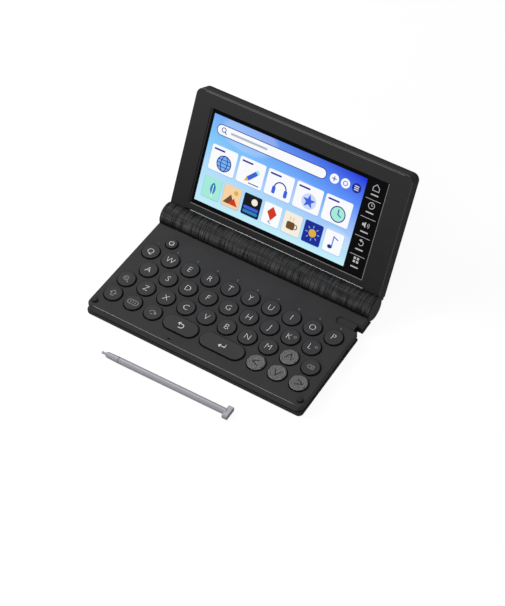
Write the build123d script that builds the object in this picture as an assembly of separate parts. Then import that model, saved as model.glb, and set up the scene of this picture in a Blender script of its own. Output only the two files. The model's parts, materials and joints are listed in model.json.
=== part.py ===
"""Electronic dictionary: a hinged clamshell with a round-key keyboard, a touch screen and a loose stylus.

Millimetres. +X is the user's right, +Y points away from the user and +Z is up. The origin is on the
table, under the centre of the base. The base stands on rubber feet, the lid is open for reading and
the stylus lies on the table in front. The lid's pieces are drawn in the lid's own frame, where X runs
along the hinge, Y up the screen and Z out of it towards the reader, and are then swung into place.
"""
from build123d import *
import math
import os

# ---------------------------------------------------------------- driving dimensions: base
CASE_W = 153.6            # width of the base half-way between its front edge and the hinge
SIDE_FLARE = 0.6          # its sides stand out by this much more at the front, and less at the hinge
CASE_D = 95.0             # depth from the front edge to the back of the hinge barrel
FOOT_H = 0.8              # the case stands this far off the table
DECK_H = 8.6              # top of the key deck above the table
PARTING_H = 4.6           # height of the seam between bottom case and key deck
BASE_CORNER_R = 3.2       # front corners of the bottom case, in plan
DECK_CORNER_R = 4.8       # front corners of the key deck, in plan
WALL_T = 1.4              # side walls of the base
FLOOR_T = 1.2             # floor of the bottom case
DECK_T = 1.3              # plate of the key deck
DECK_STEP = 0.3           # the key deck's foot stands back this far from the bottom case
DECK_SLOPE = 1.4          # the key deck's front leans back this much more up to its top edge
EDGE_R = 0.5              # soft lower edge of the bottom case
DECK_EDGE_R = 0.4         # soft top edge of the key deck
SEAM_HT = 1.5             # open groove in the bottom case, under the seam
SEAM_D = 0.6
BASE_TAIL = 4.75          # the base's rear edge lies this far in front of the hinge axis

# ---------------------------------------------------------------- driving dimensions: hinge barrel
BARREL_R = 8.3
BARREL_T = 0.9            # wall of the battery barrel
HOUSING_SHARE = 0.49      # of the room beside the batteries; the turning knuckle has the rest
BULKHEAD_T = 1.2          # cross walls at both ends of the battery space
BARREL_END_T = 1.5
KNUCKLE_GAP = 0.3         # between the middle segment and each lid knuckle
TURN_GAP = 0.3            # round every turning knuckle and under the lid's hollow
KNUCKLE_WALL = 1.2
KNUCKLE_END_T = 2.0
KNUCKLE_EDGE_R = 1.0
KNUCKLE_SHY = 0.35        # the knuckles end this far inside the base's sides
SHAFT_R = 1.5
SHAFT_RUN_GAP = 0.05      # hinge shaft in its friction housing
SHAFT_BOSS_R = 3.2
HOUSING_R = 3.6

# ---------------------------------------------------------------- driving dimensions: batteries
CELL_R = 7.25             # AA size
CELL_L = 50.5
CELL_NUB_R = 2.75
CELL_NUB_L = 1.3
CONTACT_R = 4.0
CONTACT_T = 0.4
CONTACT_STUB_R = 2.4
CONTACT_STUB_L = 0.9
COVER_T = 0.8
COVER_GAP = 0.3           # round the battery cover
COVER_TOP_DEG = -20.5     # the cover wraps up the back of the barrel to this angle
BARREL_LIP_DEG = -19.0    # and the barrel's own wall begins here
RIB_T = 1.0               # wall in front of the battery space

# ---------------------------------------------------------------- driving dimensions: keys
KEY_COLUMNS = 10
KEY_MARGIN = 10.425       # middle of the outermost keys to the side of the case
KEY_ROWS_DEEP = 6.008     # row pitches between the front edge and the barrel
TOP_ROW = 4.241           # row of Q, in row pitches from the front edge
KEY_FILL = 0.8736         # key diameter over row pitch
KEY_RISE = 1.1            # key tops above the deck
LAST_ROW_DROP = 0.4       # the last row lies this much nearer the user
LAST_ROW_SHIFT = 0.5      # its round keys on the left stand this far outwards of their columns
KEY_GAP = 0.25            # key in its hole
KEY_FLANGE = 0.5          # retaining rim under the deck
KEY_FLANGE_T = 0.6
KEY_EDGE_R = 0.55
KEY_TOP_PLAY = 0.2        # rim below the deck's underside
KEY_TRAVEL = 0.6
DOME_PLAY = 0.2           # left between a pressed key and its rubber dome
WIDE_SPLIT = 4.245        # the gap between the two wide keys, in key columns
WIDE_GAP = 2.85
WIDE_REACH = 0.9          # the left wide key reaches this far beyond the key above its end
POWER_R = 3.75
POWER_INSET = 18.1        # power key to the left side
POWER_ROW = 5.142         # power key, in row pitches from the front edge

# ---------------------------------------------------------------- driving dimensions: base insides
BOARD_T = 1.0
BOARD_LIFT = 1.0          # board above the floor
BOARD_MARGIN = 1.2        # board edge to case wall
BOARD_BACK_GAP = 3.2      # between the rear edge of the board and the speaker
POWER_TAB_W = 10.0        # tab of the board under the power key
SHEET_T = 0.6
DOME_R = 3.0
BOSS_R = 2.2
BOSS_GAP = 0.3
SCREW_R = 0.85
SCREW_HEAD_R = 1.8
SCREW_HEAD_T = 1.2
CROSS_L = 2.2             # cross recess in a screw head
CROSS_W = 0.5
CROSS_D = 0.5
SCREW_RECESS = 0.2        # head below the case's underside
SCREW_GAP = 0.2           # round the screw head and shank in the bottom case
SCREW_BITE = 2.0          # length of thread in the key deck
FRONT_SCREW_INSET = 16.8  # front screws to the sides
FRONT_SCREW_Y = 6.0       # and from the front edge
SIDE_SCREW_INSET = 6.8    # screws beside the second key row
REAR_SCREW_INSET = 8.3
REAR_SCREW_GAP = 3.4      # rear screws in front of the barrel
POST_R = 1.5
POST_INSET = 36.8         # board posts to the sides
POST_FRONT = 11.0         # and from the front edge
POST_BACK_GAP = 4.0       # rear posts in front of the board's rear edge
SPEAKER_W = 18.0
SPEAKER_D = 9.6
SPEAKER_T = 3.6
SPEAKER_CORNER_R = 1.0
SPEAKER_BACK_GAP = 1.6    # speaker in front of the barrel
GRILLE_SLOTS = 5
GRILLE_PITCH = 2.6
GRILLE_SLOT_W = 1.0
GRILLE_SLOT_L = 4.8
MIC_X = -17.9
MIC_Y = 4.4               # from the front edge
MIC_SLOT_L = 2.2
MIC_SLOT_W = 1.0
MIC_R = 2.0
MIC_GAP = 0.4             # capsule below the deck

# ---------------------------------------------------------------- driving dimensions: side features
PORT_ROW = 4.046          # data socket, in row pitches from the front edge
PORT_Z = 4.1
PORT_W = 9.0
PORT_HT = 3.2
PORT_L = 5.6
PORT_T = 0.3
PORT_GAP = 0.2
PORT_INSET = 0.4
PORT_TONGUE_T = 0.7
PORT_TONGUE_W = 6.6
PORT_TONGUE_INSET = 1.0
STRAP_Y = 17.6            # strap bar, from the front edge
STRAP_Z = 2.9
STRAP_SLOT_W = 2.2
STRAP_SLOT_HT = 1.8
STRAP_BAR_W = 1.6
NOTCH_BACK_GAP = 6.2      # rear wall of the stylus notch in front of the barrel
NOTCH_W = 6.2
NOTCH_DEPTH = 3.95
SCOOP_L = 13.0            # finger scoop in the deck beside the notch
SCOOP_SHALLOW = 0.7
SCOOP_DEEP = 1.2
PAD_R = 1.9               # stop pads under the lid's corners
PAD_RISE = 1.6
PAD_SINK = 0.5
PAD_INSET = 3.2           # pads to the sides
PAD_Y = 5.75              # from the front edge
FOOT_R = 4.0
FOOT_SINK = 0.4
FOOT_INSET = 10.3         # front feet to the sides
FOOT_Y = 10.0             # front feet, from the front edge
REAR_FOOT_SHARE = 0.65    # length of a rear foot over that of the hinge housing above it
REAR_FOOT_W = 5.0

# ---------------------------------------------------------------- driving dimensions: stylus
STYLUS_R = 2.1
STYLUS_L = 91.0
STYLUS_HEAD_L = 8.6       # length of the cross bar
STYLUS_HEAD_T = 3.3
STYLUS_HEAD_HT = 3.4
STYLUS_HEAD_EDGE = 0.6
STYLUS_HEAD_ROOT = 0.8    # the shaft ends this far inside the cross bar
STYLUS_NOSE_L = 9.7       # tapered collar that holds the tip
STYLUS_CONE_L = 0.9       # its bevelled front end
STYLUS_NOSE_R = 1.5
STYLUS_COLLAR_R = 1.85
STYLUS_TIP_R = 0.75
STYLUS_TIP_L = 3.3
STYLUS_GROOVE_L = 0.8
STYLUS_GROOVE_D = 0.4
STYLUS_X = 41.2           # head end, where it lies on the table
STYLUS_Y = -19.3          # shaft at the head, from the front edge
STYLUS_TURN = 0.9         # degrees that it lies turned from the front edge
SILO_GAP = 0.1            # stylus in its silo
SILO_WALL = 0.4
SILO_END_T = 1.1
SILO_SPARE = 0.6          # behind the tip of a docked stylus

# ---------------------------------------------------------------- driving dimensions: lid
LID_OPEN = 119.9          # degrees from closed, as it stands
LID_FACE = 1.3            # the bezel's face lies this far behind the hinge axis
LID_BACK = 10.8           # the lid's back lies this far behind it
LID_SHY = 0.6             # the lid's sides stand back this far from the base's
LID_CORNER_R = 4.5        # top corners
LID_HEEL = 5.3            # the lid's sides begin this far up from the hinge axis
LID_HEEL_R = 0.6          # with a corner of this radius
LID_SEAM = 6.8            # seam between bezel and back cover
LID_SHORT = 0.25          # closed, the lid's edge stops this far behind the base's front edge
LID_TAIL = 3.0            # the back cover begins this far up from the hinge axis
LID_WALL = 1.3
LID_SKIN = 1.2            # back cover's plate and the wall round its hollow
BEZEL_T = 1.2
BEZEL_EDGE_R = 0.5
BACK_EDGE_R = 0.6
CHIN_BEVEL = 0.5
BEZEL_SIDE = 14.0         # bezel beside the glass
BEZEL_TOP = 9.45          # bezel above the glass
CHIN = 13.8               # lower edge of the glass, up from the hinge axis
GLASS_T = 1.0
GLASS_INSET = 0.2         # glass below the bezel's face
GLASS_GAP = 0.1
LEDGE_W = 0.8             # ledge that the glass is stuck on
LEDGE_T = 0.8
PANEL_LEFT_INSET = 1.1    # screen panel inside the glass
PANEL_RIGHT_INSET = 13.3  # on this side the glass carries a strip of touch buttons
PANEL_END_INSET = 1.5
PANEL_T = 1.6
TRAY_T = 2.0
TRAY_LAP = 1.2            # backlight tray beyond the panel
STANDOFF_R = 2.5          # posts that carry the tray on the back cover

# ---------------------------------------------------------------- drawing aid
OVER = 1.0                # cutting tools reach this far past what they cut

# ---------------------------------------------------------------- derived places
FRONT_Y = -CASE_D / 2
AXIS_Y = CASE_D / 2 - BARREL_R
AXIS_Z = FOOT_H + BARREL_R
MID_Y = (FRONT_Y + AXIS_Y) / 2
HALF_W = CASE_W / 2
INNER_CORNER_R = DECK_CORNER_R - WALL_T
LID_HALF = HALF_W - LID_SHY
KNUCKLE_END = HALF_W - KNUCKLE_SHY
BARREL_FRONT_Y = AXIS_Y - BARREL_R
KEY_PITCH_X = (CASE_W - 2 * KEY_MARGIN) / (KEY_COLUMNS - 1)
KEY_PITCH_Y = (BARREL_FRONT_Y - FRONT_Y) / KEY_ROWS_DEEP
KEY_R = KEY_FILL * KEY_PITCH_Y / 2
LAST_ROW_Y = FRONT_Y + (TOP_ROW - 3) * KEY_PITCH_Y - LAST_ROW_DROP
POWER_X = POWER_INSET - HALF_W
POWER_Y = FRONT_Y + POWER_ROW * KEY_PITCH_Y
PORT_Y = FRONT_Y + PORT_ROW * KEY_PITCH_Y
SPEAKER_Y = BARREL_FRONT_Y - SPEAKER_BACK_GAP - SPEAKER_D / 2
BOARD_BACK = SPEAKER_Y - SPEAKER_D / 2 - BOARD_BACK_GAP
FLOOR_Z = FOOT_H + FLOOR_T
UNDER_DECK_Z = DECK_H - DECK_T
REAR_Y = AXIS_Y - BASE_TAIL
BOARD_Z = FLOOR_Z + BOARD_LIFT
SHEET_Z = BOARD_Z + BOARD_T
KEY_TOP_Z = DECK_H + KEY_RISE
KEY_RIM_Z = UNDER_DECK_Z - KEY_TOP_PLAY
KEY_FOOT_Z = KEY_RIM_Z - KEY_FLANGE_T
DOME_TOP_Z = KEY_FOOT_Z - KEY_TRAVEL - DOME_PLAY
BARREL_BORE = BARREL_R - BARREL_T
CONTACT_X = CELL_L + CONTACT_STUB_L
BULKHEAD_X = CONTACT_X + CONTACT_T
HOUSING_X = BULKHEAD_X + BULKHEAD_T
BARREL_HALF = HOUSING_X + HOUSING_SHARE * (HALF_W - HOUSING_X)
REAR_FOOT_L = REAR_FOOT_SHARE * (BARREL_HALF - HOUSING_X)
FOOT_X = HALF_W - FOOT_INSET
PAD_X = HALF_W - PAD_INSET
COVER_HALF = BULKHEAD_X - COVER_GAP
COVER_FRONT_Y = AXIS_Y - BARREL_BORE - COVER_GAP
KNUCKLE_IN = BARREL_HALF + KNUCKLE_GAP
SILO_R = STYLUS_R + SILO_GAP
SILO_OUT_R = SILO_R + SILO_WALL
SILO_Z = FLOOR_Z + SILO_OUT_R
NOTCH_FRONT = BARREL_FRONT_Y - NOTCH_BACK_GAP - NOTCH_W
SILO_Y = NOTCH_FRONT + NOTCH_W / 2
NOTCH_X = HALF_W - NOTCH_DEPTH
SILO_BOTTOM_X = NOTCH_X - (STYLUS_L - STYLUS_HEAD_T) - SILO_SPARE
SPEAKER_X = (POWER_X + POWER_TAB_W / 2 + SILO_BOTTOM_X - SILO_END_T) / 2
LID_TOP = AXIS_Y - FRONT_Y - LID_SHORT
GLASS_W = 2 * (LID_HALF - BEZEL_SIDE)
GLASS_H = LID_TOP - BEZEL_TOP - CHIN
GLASS_MID = CHIN + GLASS_H / 2
PANEL_W = GLASS_W - PANEL_LEFT_INSET - PANEL_RIGHT_INSET
PANEL_H = GLASS_H - 2 * PANEL_END_INSET
PANEL_X = (PANEL_LEFT_INSET - PANEL_RIGHT_INSET) / 2
LID_HOLLOW_R = BARREL_R + TURN_GAP
LID_PLACE = Pos(0, AXIS_Y, AXIS_Z) * Rot(180.0 - LID_OPEN, 0, 0)


# ---------------------------------------------------------------- small helpers
def block(x_range, y_range, z_range):
    """A box given by its two ends along each axis."""
    (x0, x1), (y0, y1), (z0, z1) = x_range, y_range, z_range
    middle = Pos((x0 + x1) / 2, (y0 + y1) / 2, (z0 + z1) / 2)
    return middle * Box(x1 - x0, y1 - y0, z1 - z0)


def post(radius, x, y, z0, z1):
    """An upright cylinder from z0 to z1."""
    return Pos(x, y, (z0 + z1) / 2) * Cylinder(radius, z1 - z0)


def rod(radius, x0, x1, y, z):
    """A cylinder along X from x0 to x1."""
    return Pos((x0 + x1) / 2, y, z) * Rot(0, 90, 0) * Cylinder(radius, x1 - x0)


def barrel_rod(radius, x0, x1):
    """A cylinder on the hinge axis."""
    return rod(radius, x0, x1, AXIS_Y, AXIS_Z)


def both_sides(make):
    """The union of make(-1) and make(+1), for what is the same on the left and right."""
    return make(-1) + make(1)


def side_x(y):
    """X of the base's right-hand side, which flares towards the front."""
    return HALF_W + SIDE_FLARE * (MID_Y - y) / (AXIS_Y - MID_Y)


def base_plan(inset, y_range, corner_r):
    """An outline in plan this far inside the base's sides, with rounded front corners."""
    y0, y1 = y_range
    x0, x1 = (side_x(y) - inset for y in y_range)
    shape = make_face(Polyline((-x0, y0), (x0, y0), (x1, y1), (-x1, y1), close=True))
    return fillet(shape.vertices().group_by(Axis.Y)[0], corner_r)


def lid_plan(half_w, y_range, corner_r):
    """A rectangle in the lid's plane, with rounded top corners."""
    y0, y1 = y_range
    shape = Pos(0, (y0 + y1) / 2) * Rectangle(2 * half_w, y1 - y0)
    return fillet(shape.vertices().group_by(Axis.Y)[-1], corner_r)


def save(shape, name):
    """Write one node."""
    export_step(shape, f"parts/{name}.step")


# ---------------------------------------------------------------- key layout
def column(index):
    """X of a key column; the columns are centred on the base."""
    return (index - (KEY_COLUMNS - 1) / 2) * KEY_PITCH_X


def row(index):
    """Y of a key row, counted from the row of Q towards the user."""
    return FRONT_Y + (TOP_ROW - index) * KEY_PITCH_Y


def round_key_spots():
    """Name, X, Y and radius of every round key."""
    spots = {}
    for index, letter in enumerate("qwertyuiop"):
        spots[f"key_{letter}"] = (column(index), row(0), KEY_R)
    for index, letter in enumerate("asdfghjkl"):
        spots[f"key_{letter}"] = (column(index + 0.5), row(1), KEY_R)
    for index, name in enumerate(("text_size", "z", "x", "c", "v", "b", "n", "m", "up", "delete")):
        spots[f"key_{name}"] = (column(index), row(2), KEY_R)
    for index, name in enumerate(("shift", "symbol", "jump")):
        spots[f"key_{name}"] = (column(index) - LAST_ROW_SHIFT, LAST_ROW_Y, KEY_R)
    for index, name in enumerate(("left", "down", "right")):
        spots[f"key_{name}"] = (column(index + 7), LAST_ROW_Y, KEY_R)
    spots["key_power"] = (POWER_X, POWER_Y, POWER_R)
    return spots


def wide_key_spots():
    """Name, left end and right end of the two wide keys in the last row."""
    split = column(WIDE_SPLIT)
    return {
        "key_back": (column(3) - KEY_R - WIDE_REACH, split - WIDE_GAP / 2),
        "key_enter": (split + WIDE_GAP / 2, column(6) + KEY_R),
    }


def key_outlines(grow):
    """The outline of every key, grown by a margin, as a sketch under its name."""
    outlines = {}
    for name, (x, y, radius) in round_key_spots().items():
        outlines[name] = Pos(x, y) * Circle(radius + grow)
    for name, (left, right) in wide_key_spots().items():
        length = right - left + 2 * grow
        outlines[name] = Pos((left + right) / 2, LAST_ROW_Y) * SlotOverall(length, 2 * (KEY_R + grow))
    return outlines


def make_key(cap, rim):
    """A key: its cap with a soft top edge, and the rim that keeps it under the deck."""
    body = extrude(Pos(0, 0, KEY_FOOT_Z) * cap, amount=KEY_TOP_Z - KEY_FOOT_Z)
    body = fillet(body.edges().group_by(Axis.Z)[-1], KEY_EDGE_R)
    return body + extrude(Pos(0, 0, KEY_FOOT_Z) * rim, amount=KEY_FLANGE_T)


# ---------------------------------------------------------------- base shells
def screw_spots():
    """X and Y of the six case screws."""
    pairs = (
        (FRONT_SCREW_INSET, FRONT_Y + FRONT_SCREW_Y),
        (SIDE_SCREW_INSET, row(1)),
        (REAR_SCREW_INSET, BARREL_FRONT_Y - REAR_SCREW_GAP),
    )
    return [(side * (HALF_W - inset), y) for side in (-1, 1) for inset, y in pairs]


def notch_block(grow):
    """The stylus notch at the right rear corner, grown by a wall where asked."""
    return block(
        (NOTCH_X - grow, HALF_W + OVER),
        (NOTCH_FRONT - grow, NOTCH_FRONT + NOTCH_W + grow),
        (0, KEY_TOP_Z),
    )


def rear_hollow():
    """What the barrel and the turning knuckles take out of the base shells."""
    middle = barrel_rod(BARREL_R, -KNUCKLE_IN, KNUCKLE_IN)
    return middle + both_sides(
        lambda side: barrel_rod(BARREL_R + TURN_GAP, *sorted((side * BARREL_HALF, side * (HALF_W + OVER))))
    )


def side_openings():
    """The data socket's and the strap's openings in the right-hand wall."""
    wall = (HALF_W - 2 * WALL_T, HALF_W + OVER)
    half_w = PORT_W / 2 + PORT_GAP
    half_ht = PORT_HT / 2 + PORT_GAP
    cut = block(wall, (PORT_Y - half_w, PORT_Y + half_w), (PORT_Z - half_ht, PORT_Z + half_ht))
    for side in (-1, 1):
        slot_y = FRONT_Y + STRAP_Y + side * (STRAP_BAR_W + STRAP_SLOT_W) / 2
        cut += block(
            wall,
            (slot_y - STRAP_SLOT_W / 2, slot_y + STRAP_SLOT_W / 2),
            (STRAP_Z - STRAP_SLOT_HT / 2, STRAP_Z + STRAP_SLOT_HT / 2),
        )
    return cut


def seam_groove(whole):
    """The open groove that runs round the front and sides of the bottom case, under its seam."""
    corner_r = DECK_CORNER_R + DECK_STEP - SEAM_D
    kept = base_plan(SEAM_D, (FRONT_Y + SEAM_D, REAR_Y + OVER), corner_r)
    return extrude(Pos(0, 0, PARTING_H - SEAM_HT) * (whole - kept), amount=SEAM_HT)


def make_bottom_case():
    """Tray with floor, walls, screw towers, board posts and the wall before the batteries."""
    whole = base_plan(0, (FRONT_Y, REAR_Y), BASE_CORNER_R)
    outer = extrude(Pos(0, 0, FOOT_H) * whole, amount=PARTING_H - FOOT_H)
    bottom_edges = outer.faces().sort_by(Axis.Z)[0].edges().sort_by(Axis.Y)[:-1]
    outer = fillet(bottom_edges, EDGE_R) - seam_groove(whole)
    outer += block(
        (-BULKHEAD_X, BULKHEAD_X),
        (COVER_FRONT_Y - COVER_GAP - RIB_T, COVER_FRONT_Y - COVER_GAP),
        (FOOT_H, UNDER_DECK_Z),
    )
    inner_back = COVER_FRONT_Y - COVER_GAP - RIB_T
    inner = base_plan(WALL_T, (FRONT_Y + WALL_T, inner_back), INNER_CORNER_R)
    pocket = extrude(Pos(0, 0, FLOOR_Z) * inner, amount=DECK_H)
    pocket -= notch_block(WALL_T)
    case = outer - pocket - notch_block(0) - rear_hollow()
    case -= block((-BULKHEAD_X, BULKHEAD_X), (COVER_FRONT_Y - COVER_GAP, AXIS_Y), (0, DECK_H))
    for x, y in screw_spots():
        case += post(BOSS_R, x, y, FOOT_H, PARTING_H)
        case -= post(SCREW_R + SCREW_GAP, x, y, 0, PARTING_H)
        case -= post(SCREW_HEAD_R + SCREW_GAP, x, y, 0, FOOT_H + SCREW_RECESS + SCREW_HEAD_T)
    for side in (-1, 1):
        for y in (FRONT_Y + POST_FRONT, BOARD_BACK - POST_BACK_GAP):
            case += post(POST_R, side * (HALF_W - POST_INSET), y, FLOOR_Z, BOARD_Z)
        case -= post(FOOT_R, side * FOOT_X, FRONT_Y + FOOT_Y, 0, FOOT_H + FOOT_SINK)
    case -= rod(SILO_OUT_R, NOTCH_X - 2 * WALL_T, HALF_W, SILO_Y, SILO_Z)
    for slot in speaker_grille():
        case -= slot
    return case - side_openings()


def speaker_grille():
    """Slots in the floor under the speaker."""
    slots = []
    for index in range(GRILLE_SLOTS):
        x = SPEAKER_X + (index - (GRILLE_SLOTS - 1) / 2) * GRILLE_PITCH
        slots.append(block(
            (x - GRILLE_SLOT_W / 2, x + GRILLE_SLOT_W / 2),
            (SPEAKER_Y - GRILLE_SLOT_L / 2, SPEAKER_Y + GRILLE_SLOT_L / 2),
            (0, FLOOR_Z),
        ))
    return slots


def scoop():
    """The finger scoop: a round-ended hollow whose floor falls towards the notch."""
    left = NOTCH_X - SCOOP_L
    radius = NOTCH_W / 2
    right = HALF_W + OVER
    outline = Pos((left + radius + right) / 2, SILO_Y) * Rectangle(right - left - radius, NOTCH_W)
    outline += Pos(left + radius, SILO_Y) * Circle(radius)
    reach = extrude(Pos(0, 0, UNDER_DECK_Z) * outline, amount=DECK_T + OVER)
    floor = [
        (left, DECK_H - SCOOP_SHALLOW),
        (NOTCH_X, DECK_H - SCOOP_DEEP),
        (right, DECK_H - SCOOP_DEEP),
        (right, DECK_H + OVER),
        (left, DECK_H + OVER),
    ]
    wedge = extrude(Plane.XZ * make_face(Polyline(*floor, close=True)), amount=CASE_D, both=True)
    return reach & wedge


def make_key_deck():
    """Top case: deck plate with the key holes, leaning front, side walls and screw towers."""
    foot_y = FRONT_Y + DECK_STEP
    profile = [
        (foot_y, PARTING_H),
        (foot_y + DECK_SLOPE, DECK_H),
        (AXIS_Y, DECK_H),
        (AXIS_Y, PARTING_H),
    ]
    outer = extrude(Plane.YZ * make_face(Polyline(*profile, close=True)), amount=CASE_W, both=True)
    outline = base_plan(DECK_STEP, (foot_y, AXIS_Y), DECK_CORNER_R)
    outer &= extrude(Pos(0, 0, PARTING_H) * outline, amount=DECK_H)
    top_edges = outer.faces().sort_by(Axis.Z)[-1].edges().sort_by(Axis.Y)[:-1]
    outer = fillet(top_edges, DECK_EDGE_R)
    inner = base_plan(WALL_T, (foot_y + DECK_SLOPE + WALL_T, REAR_Y), INNER_CORNER_R)
    pocket = extrude(inner, amount=UNDER_DECK_Z)
    pocket -= notch_block(WALL_T)
    pocket -= block(
        (NOTCH_X - SCOOP_L, HALF_W),
        (NOTCH_FRONT - WALL_T, NOTCH_FRONT + NOTCH_W + WALL_T),
        (SILO_Z + SILO_OUT_R, DECK_H),
    )
    deck = outer - pocket - notch_block(0) - rear_hollow() - scoop()
    deck -= block((-BULKHEAD_X, BULKHEAD_X), (COVER_FRONT_Y - COVER_GAP - RIB_T, AXIS_Y), (0, UNDER_DECK_Z))
    for outline in key_outlines(KEY_GAP).values():
        deck -= extrude(Pos(0, 0, UNDER_DECK_Z - OVER) * outline, amount=DECK_T + 2 * OVER)
    for x, y in screw_spots():
        deck += post(BOSS_R, x, y, PARTING_H, UNDER_DECK_Z)
        deck -= post(SCREW_R, x, y, 0, PARTING_H + SCREW_BITE)
    deck -= Pos(MIC_X, FRONT_Y + MIC_Y, DECK_H) * Box(MIC_SLOT_L, MIC_SLOT_W, 3 * DECK_T)
    for side in (-1, 1):
        deck -= post(PAD_R, side * PAD_X, FRONT_Y + PAD_Y, DECK_H - PAD_SINK, KEY_TOP_Z)
    deck -= rod(SILO_OUT_R, NOTCH_X - 2 * WALL_T, HALF_W, SILO_Y, SILO_Z)
    return deck - side_openings()


# ---------------------------------------------------------------- base insides
def board_outline(margin, back_y):
    """Board-shaped sketch: the full width behind the front wall, with a tab for the power key."""
    front = FRONT_Y + DECK_STEP + DECK_SLOPE + WALL_T + margin
    outline = base_plan(WALL_T + margin, (front, back_y), INNER_CORNER_R)
    tab_back = POWER_Y + DOME_R
    tab_y = (back_y + tab_back) / 2
    outline += Pos(POWER_X, tab_y) * Rectangle(POWER_TAB_W, tab_back - back_y)
    for x, y in screw_spots():
        outline -= Pos(x, y) * Circle(BOSS_R + BOSS_GAP)
    return outline


def port_room():
    """The gap that the sunk data socket needs in the board and the rubber sheet."""
    half_w = PORT_W / 2 + PORT_GAP
    return block(
        (HALF_W - PORT_INSET - PORT_L - PORT_GAP, HALF_W),
        (PORT_Y - half_w, PORT_Y + half_w),
        (0, DECK_H),
    )


def make_main_board():
    """Circuit board with its chips and the microphone capsule, and a gap for the data socket."""
    outline = board_outline(BOARD_MARGIN, BOARD_BACK)
    board = extrude(Pos(0, 0, BOARD_Z) * outline, amount=BOARD_T) - port_room()
    top = UNDER_DECK_Z - MIC_GAP
    return board + post(MIC_R, MIC_X, FRONT_Y + MIC_Y + MIC_R / 2, SHEET_Z, top)


def make_rubber_sheet():
    """Key sheet with one dome under every key."""
    front = LAST_ROW_Y - KEY_R - KEY_FLANGE
    back = row(0) + KEY_R + KEY_FLANGE
    outline = base_plan(WALL_T + BOARD_MARGIN, (front, back), INNER_CORNER_R)
    tab_back = POWER_Y + DOME_R
    outline += Pos(POWER_X, (back + tab_back) / 2) * Rectangle(2 * DOME_R, tab_back - back)
    for x, y in screw_spots():
        outline -= Pos(x, y) * Circle(BOSS_R + BOSS_GAP)
    sheet = extrude(Pos(0, 0, SHEET_Z) * outline, amount=SHEET_T) - port_room()
    for x, y, _ in round_key_spots().values():
        sheet += post(DOME_R, x, y, SHEET_Z, DOME_TOP_Z)
    for left, right in wide_key_spots().values():
        sheet += post(DOME_R, (left + right) / 2, LAST_ROW_Y, SHEET_Z, DOME_TOP_Z)
    return sheet


def make_stylus_silo():
    """Blind tube that holds the stylus, open at the notch."""
    tube = rod(SILO_OUT_R, SILO_BOTTOM_X - SILO_END_T, NOTCH_X, SILO_Y, SILO_Z)
    return tube - rod(SILO_R, SILO_BOTTOM_X, NOTCH_X, SILO_Y, SILO_Z)


def make_speaker():
    """Small speaker on the floor, over its grille."""
    body = Pos(SPEAKER_X, SPEAKER_Y, FLOOR_Z + SPEAKER_T / 2) * Box(SPEAKER_W, SPEAKER_D, SPEAKER_T)
    return fillet(body.edges().filter_by(Axis.Z), SPEAKER_CORNER_R)


def make_data_port():
    """Sunk data socket: a metal shell with the contact tongue inside."""
    outline = Plane.YZ * Pos(PORT_Y, PORT_Z) * SlotOverall(PORT_W, PORT_HT)
    hollow = Plane.YZ * Pos(PORT_Y, PORT_Z) * SlotOverall(PORT_W - 2 * PORT_T, PORT_HT - 2 * PORT_T)
    mouth = HALF_W - PORT_INSET
    shell = Pos(mouth - PORT_L, 0, 0) * extrude(outline, amount=PORT_L)
    shell -= Pos(mouth - PORT_L + PORT_T, 0, 0) * extrude(hollow, amount=PORT_L)
    return shell + block(
        (mouth - PORT_L, mouth - PORT_TONGUE_INSET),
        (PORT_Y - PORT_TONGUE_W / 2, PORT_Y + PORT_TONGUE_W / 2),
        (PORT_Z - PORT_TONGUE_T / 2, PORT_Z + PORT_TONGUE_T / 2),
    )


def make_case_screws():
    """Six self-tapping screws, driven from below."""
    screws = []
    for x, y in screw_spots():
        head_z = FOOT_H + SCREW_RECESS
        seat_z = head_z + SCREW_HEAD_T
        screw = post(SCREW_HEAD_R, x, y, head_z, seat_z) + post(SCREW_R, x, y, seat_z, PARTING_H + SCREW_BITE)
        for turn in (0, 90):
            screw -= Pos(x, y, head_z) * Rot(0, 0, turn) * Box(CROSS_L, CROSS_W, 2 * CROSS_D)
        screws.append(screw)
    return Compound(children=screws)


# ---------------------------------------------------------------- feet and pads
def make_rubber_feet():
    """Two round front feet and two saddle pads under the barrel."""
    feet = []
    for side in (-1, 1):
        feet.append(post(FOOT_R, side * FOOT_X, FRONT_Y + FOOT_Y, 0, FOOT_H + FOOT_SINK))
        x = side * (HOUSING_X + REAR_FOOT_L / 2)
        pad = block(
            (x - REAR_FOOT_L / 2, x + REAR_FOOT_L / 2),
            (AXIS_Y - REAR_FOOT_W / 2, AXIS_Y + REAR_FOOT_W / 2),
            (0, AXIS_Z),
        )
        feet.append(pad - barrel_rod(BARREL_R, -BARREL_HALF, BARREL_HALF))
    return Compound(children=feet)


def make_stop_pads():
    """Two soft pads that the closed lid comes down on."""
    pads = []
    for side in (-1, 1):
        pad = post(PAD_R, side * PAD_X, FRONT_Y + PAD_Y, DECK_H - PAD_SINK, DECK_H + PAD_RISE)
        pads.append(fillet(pad.edges().group_by(Axis.Z)[-1], PAD_R / 2))
    return Compound(children=pads)


# ---------------------------------------------------------------- barrel and batteries
def ring_slice(inner_r, outer_r, start_deg, end_deg, half_length):
    """Part of a tube wall on the hinge axis, between two angles seen from +X."""
    centre = (AXIS_Y, AXIS_Z)

    def at(radius, degrees):
        angle = math.radians(degrees)
        return (centre[0] + radius * math.cos(angle), centre[1] + radius * math.sin(angle))

    middle = (start_deg + end_deg) / 2
    outline = [
        ThreePointArc(at(outer_r, start_deg), at(outer_r, middle), at(outer_r, end_deg)),
        Line(at(outer_r, end_deg), at(inner_r, end_deg)),
        ThreePointArc(at(inner_r, end_deg), at(inner_r, middle), at(inner_r, start_deg)),
        Line(at(inner_r, start_deg), at(outer_r, start_deg)),
    ]
    return extrude(Plane.YZ * make_face(outline), amount=half_length, both=True)


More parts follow.
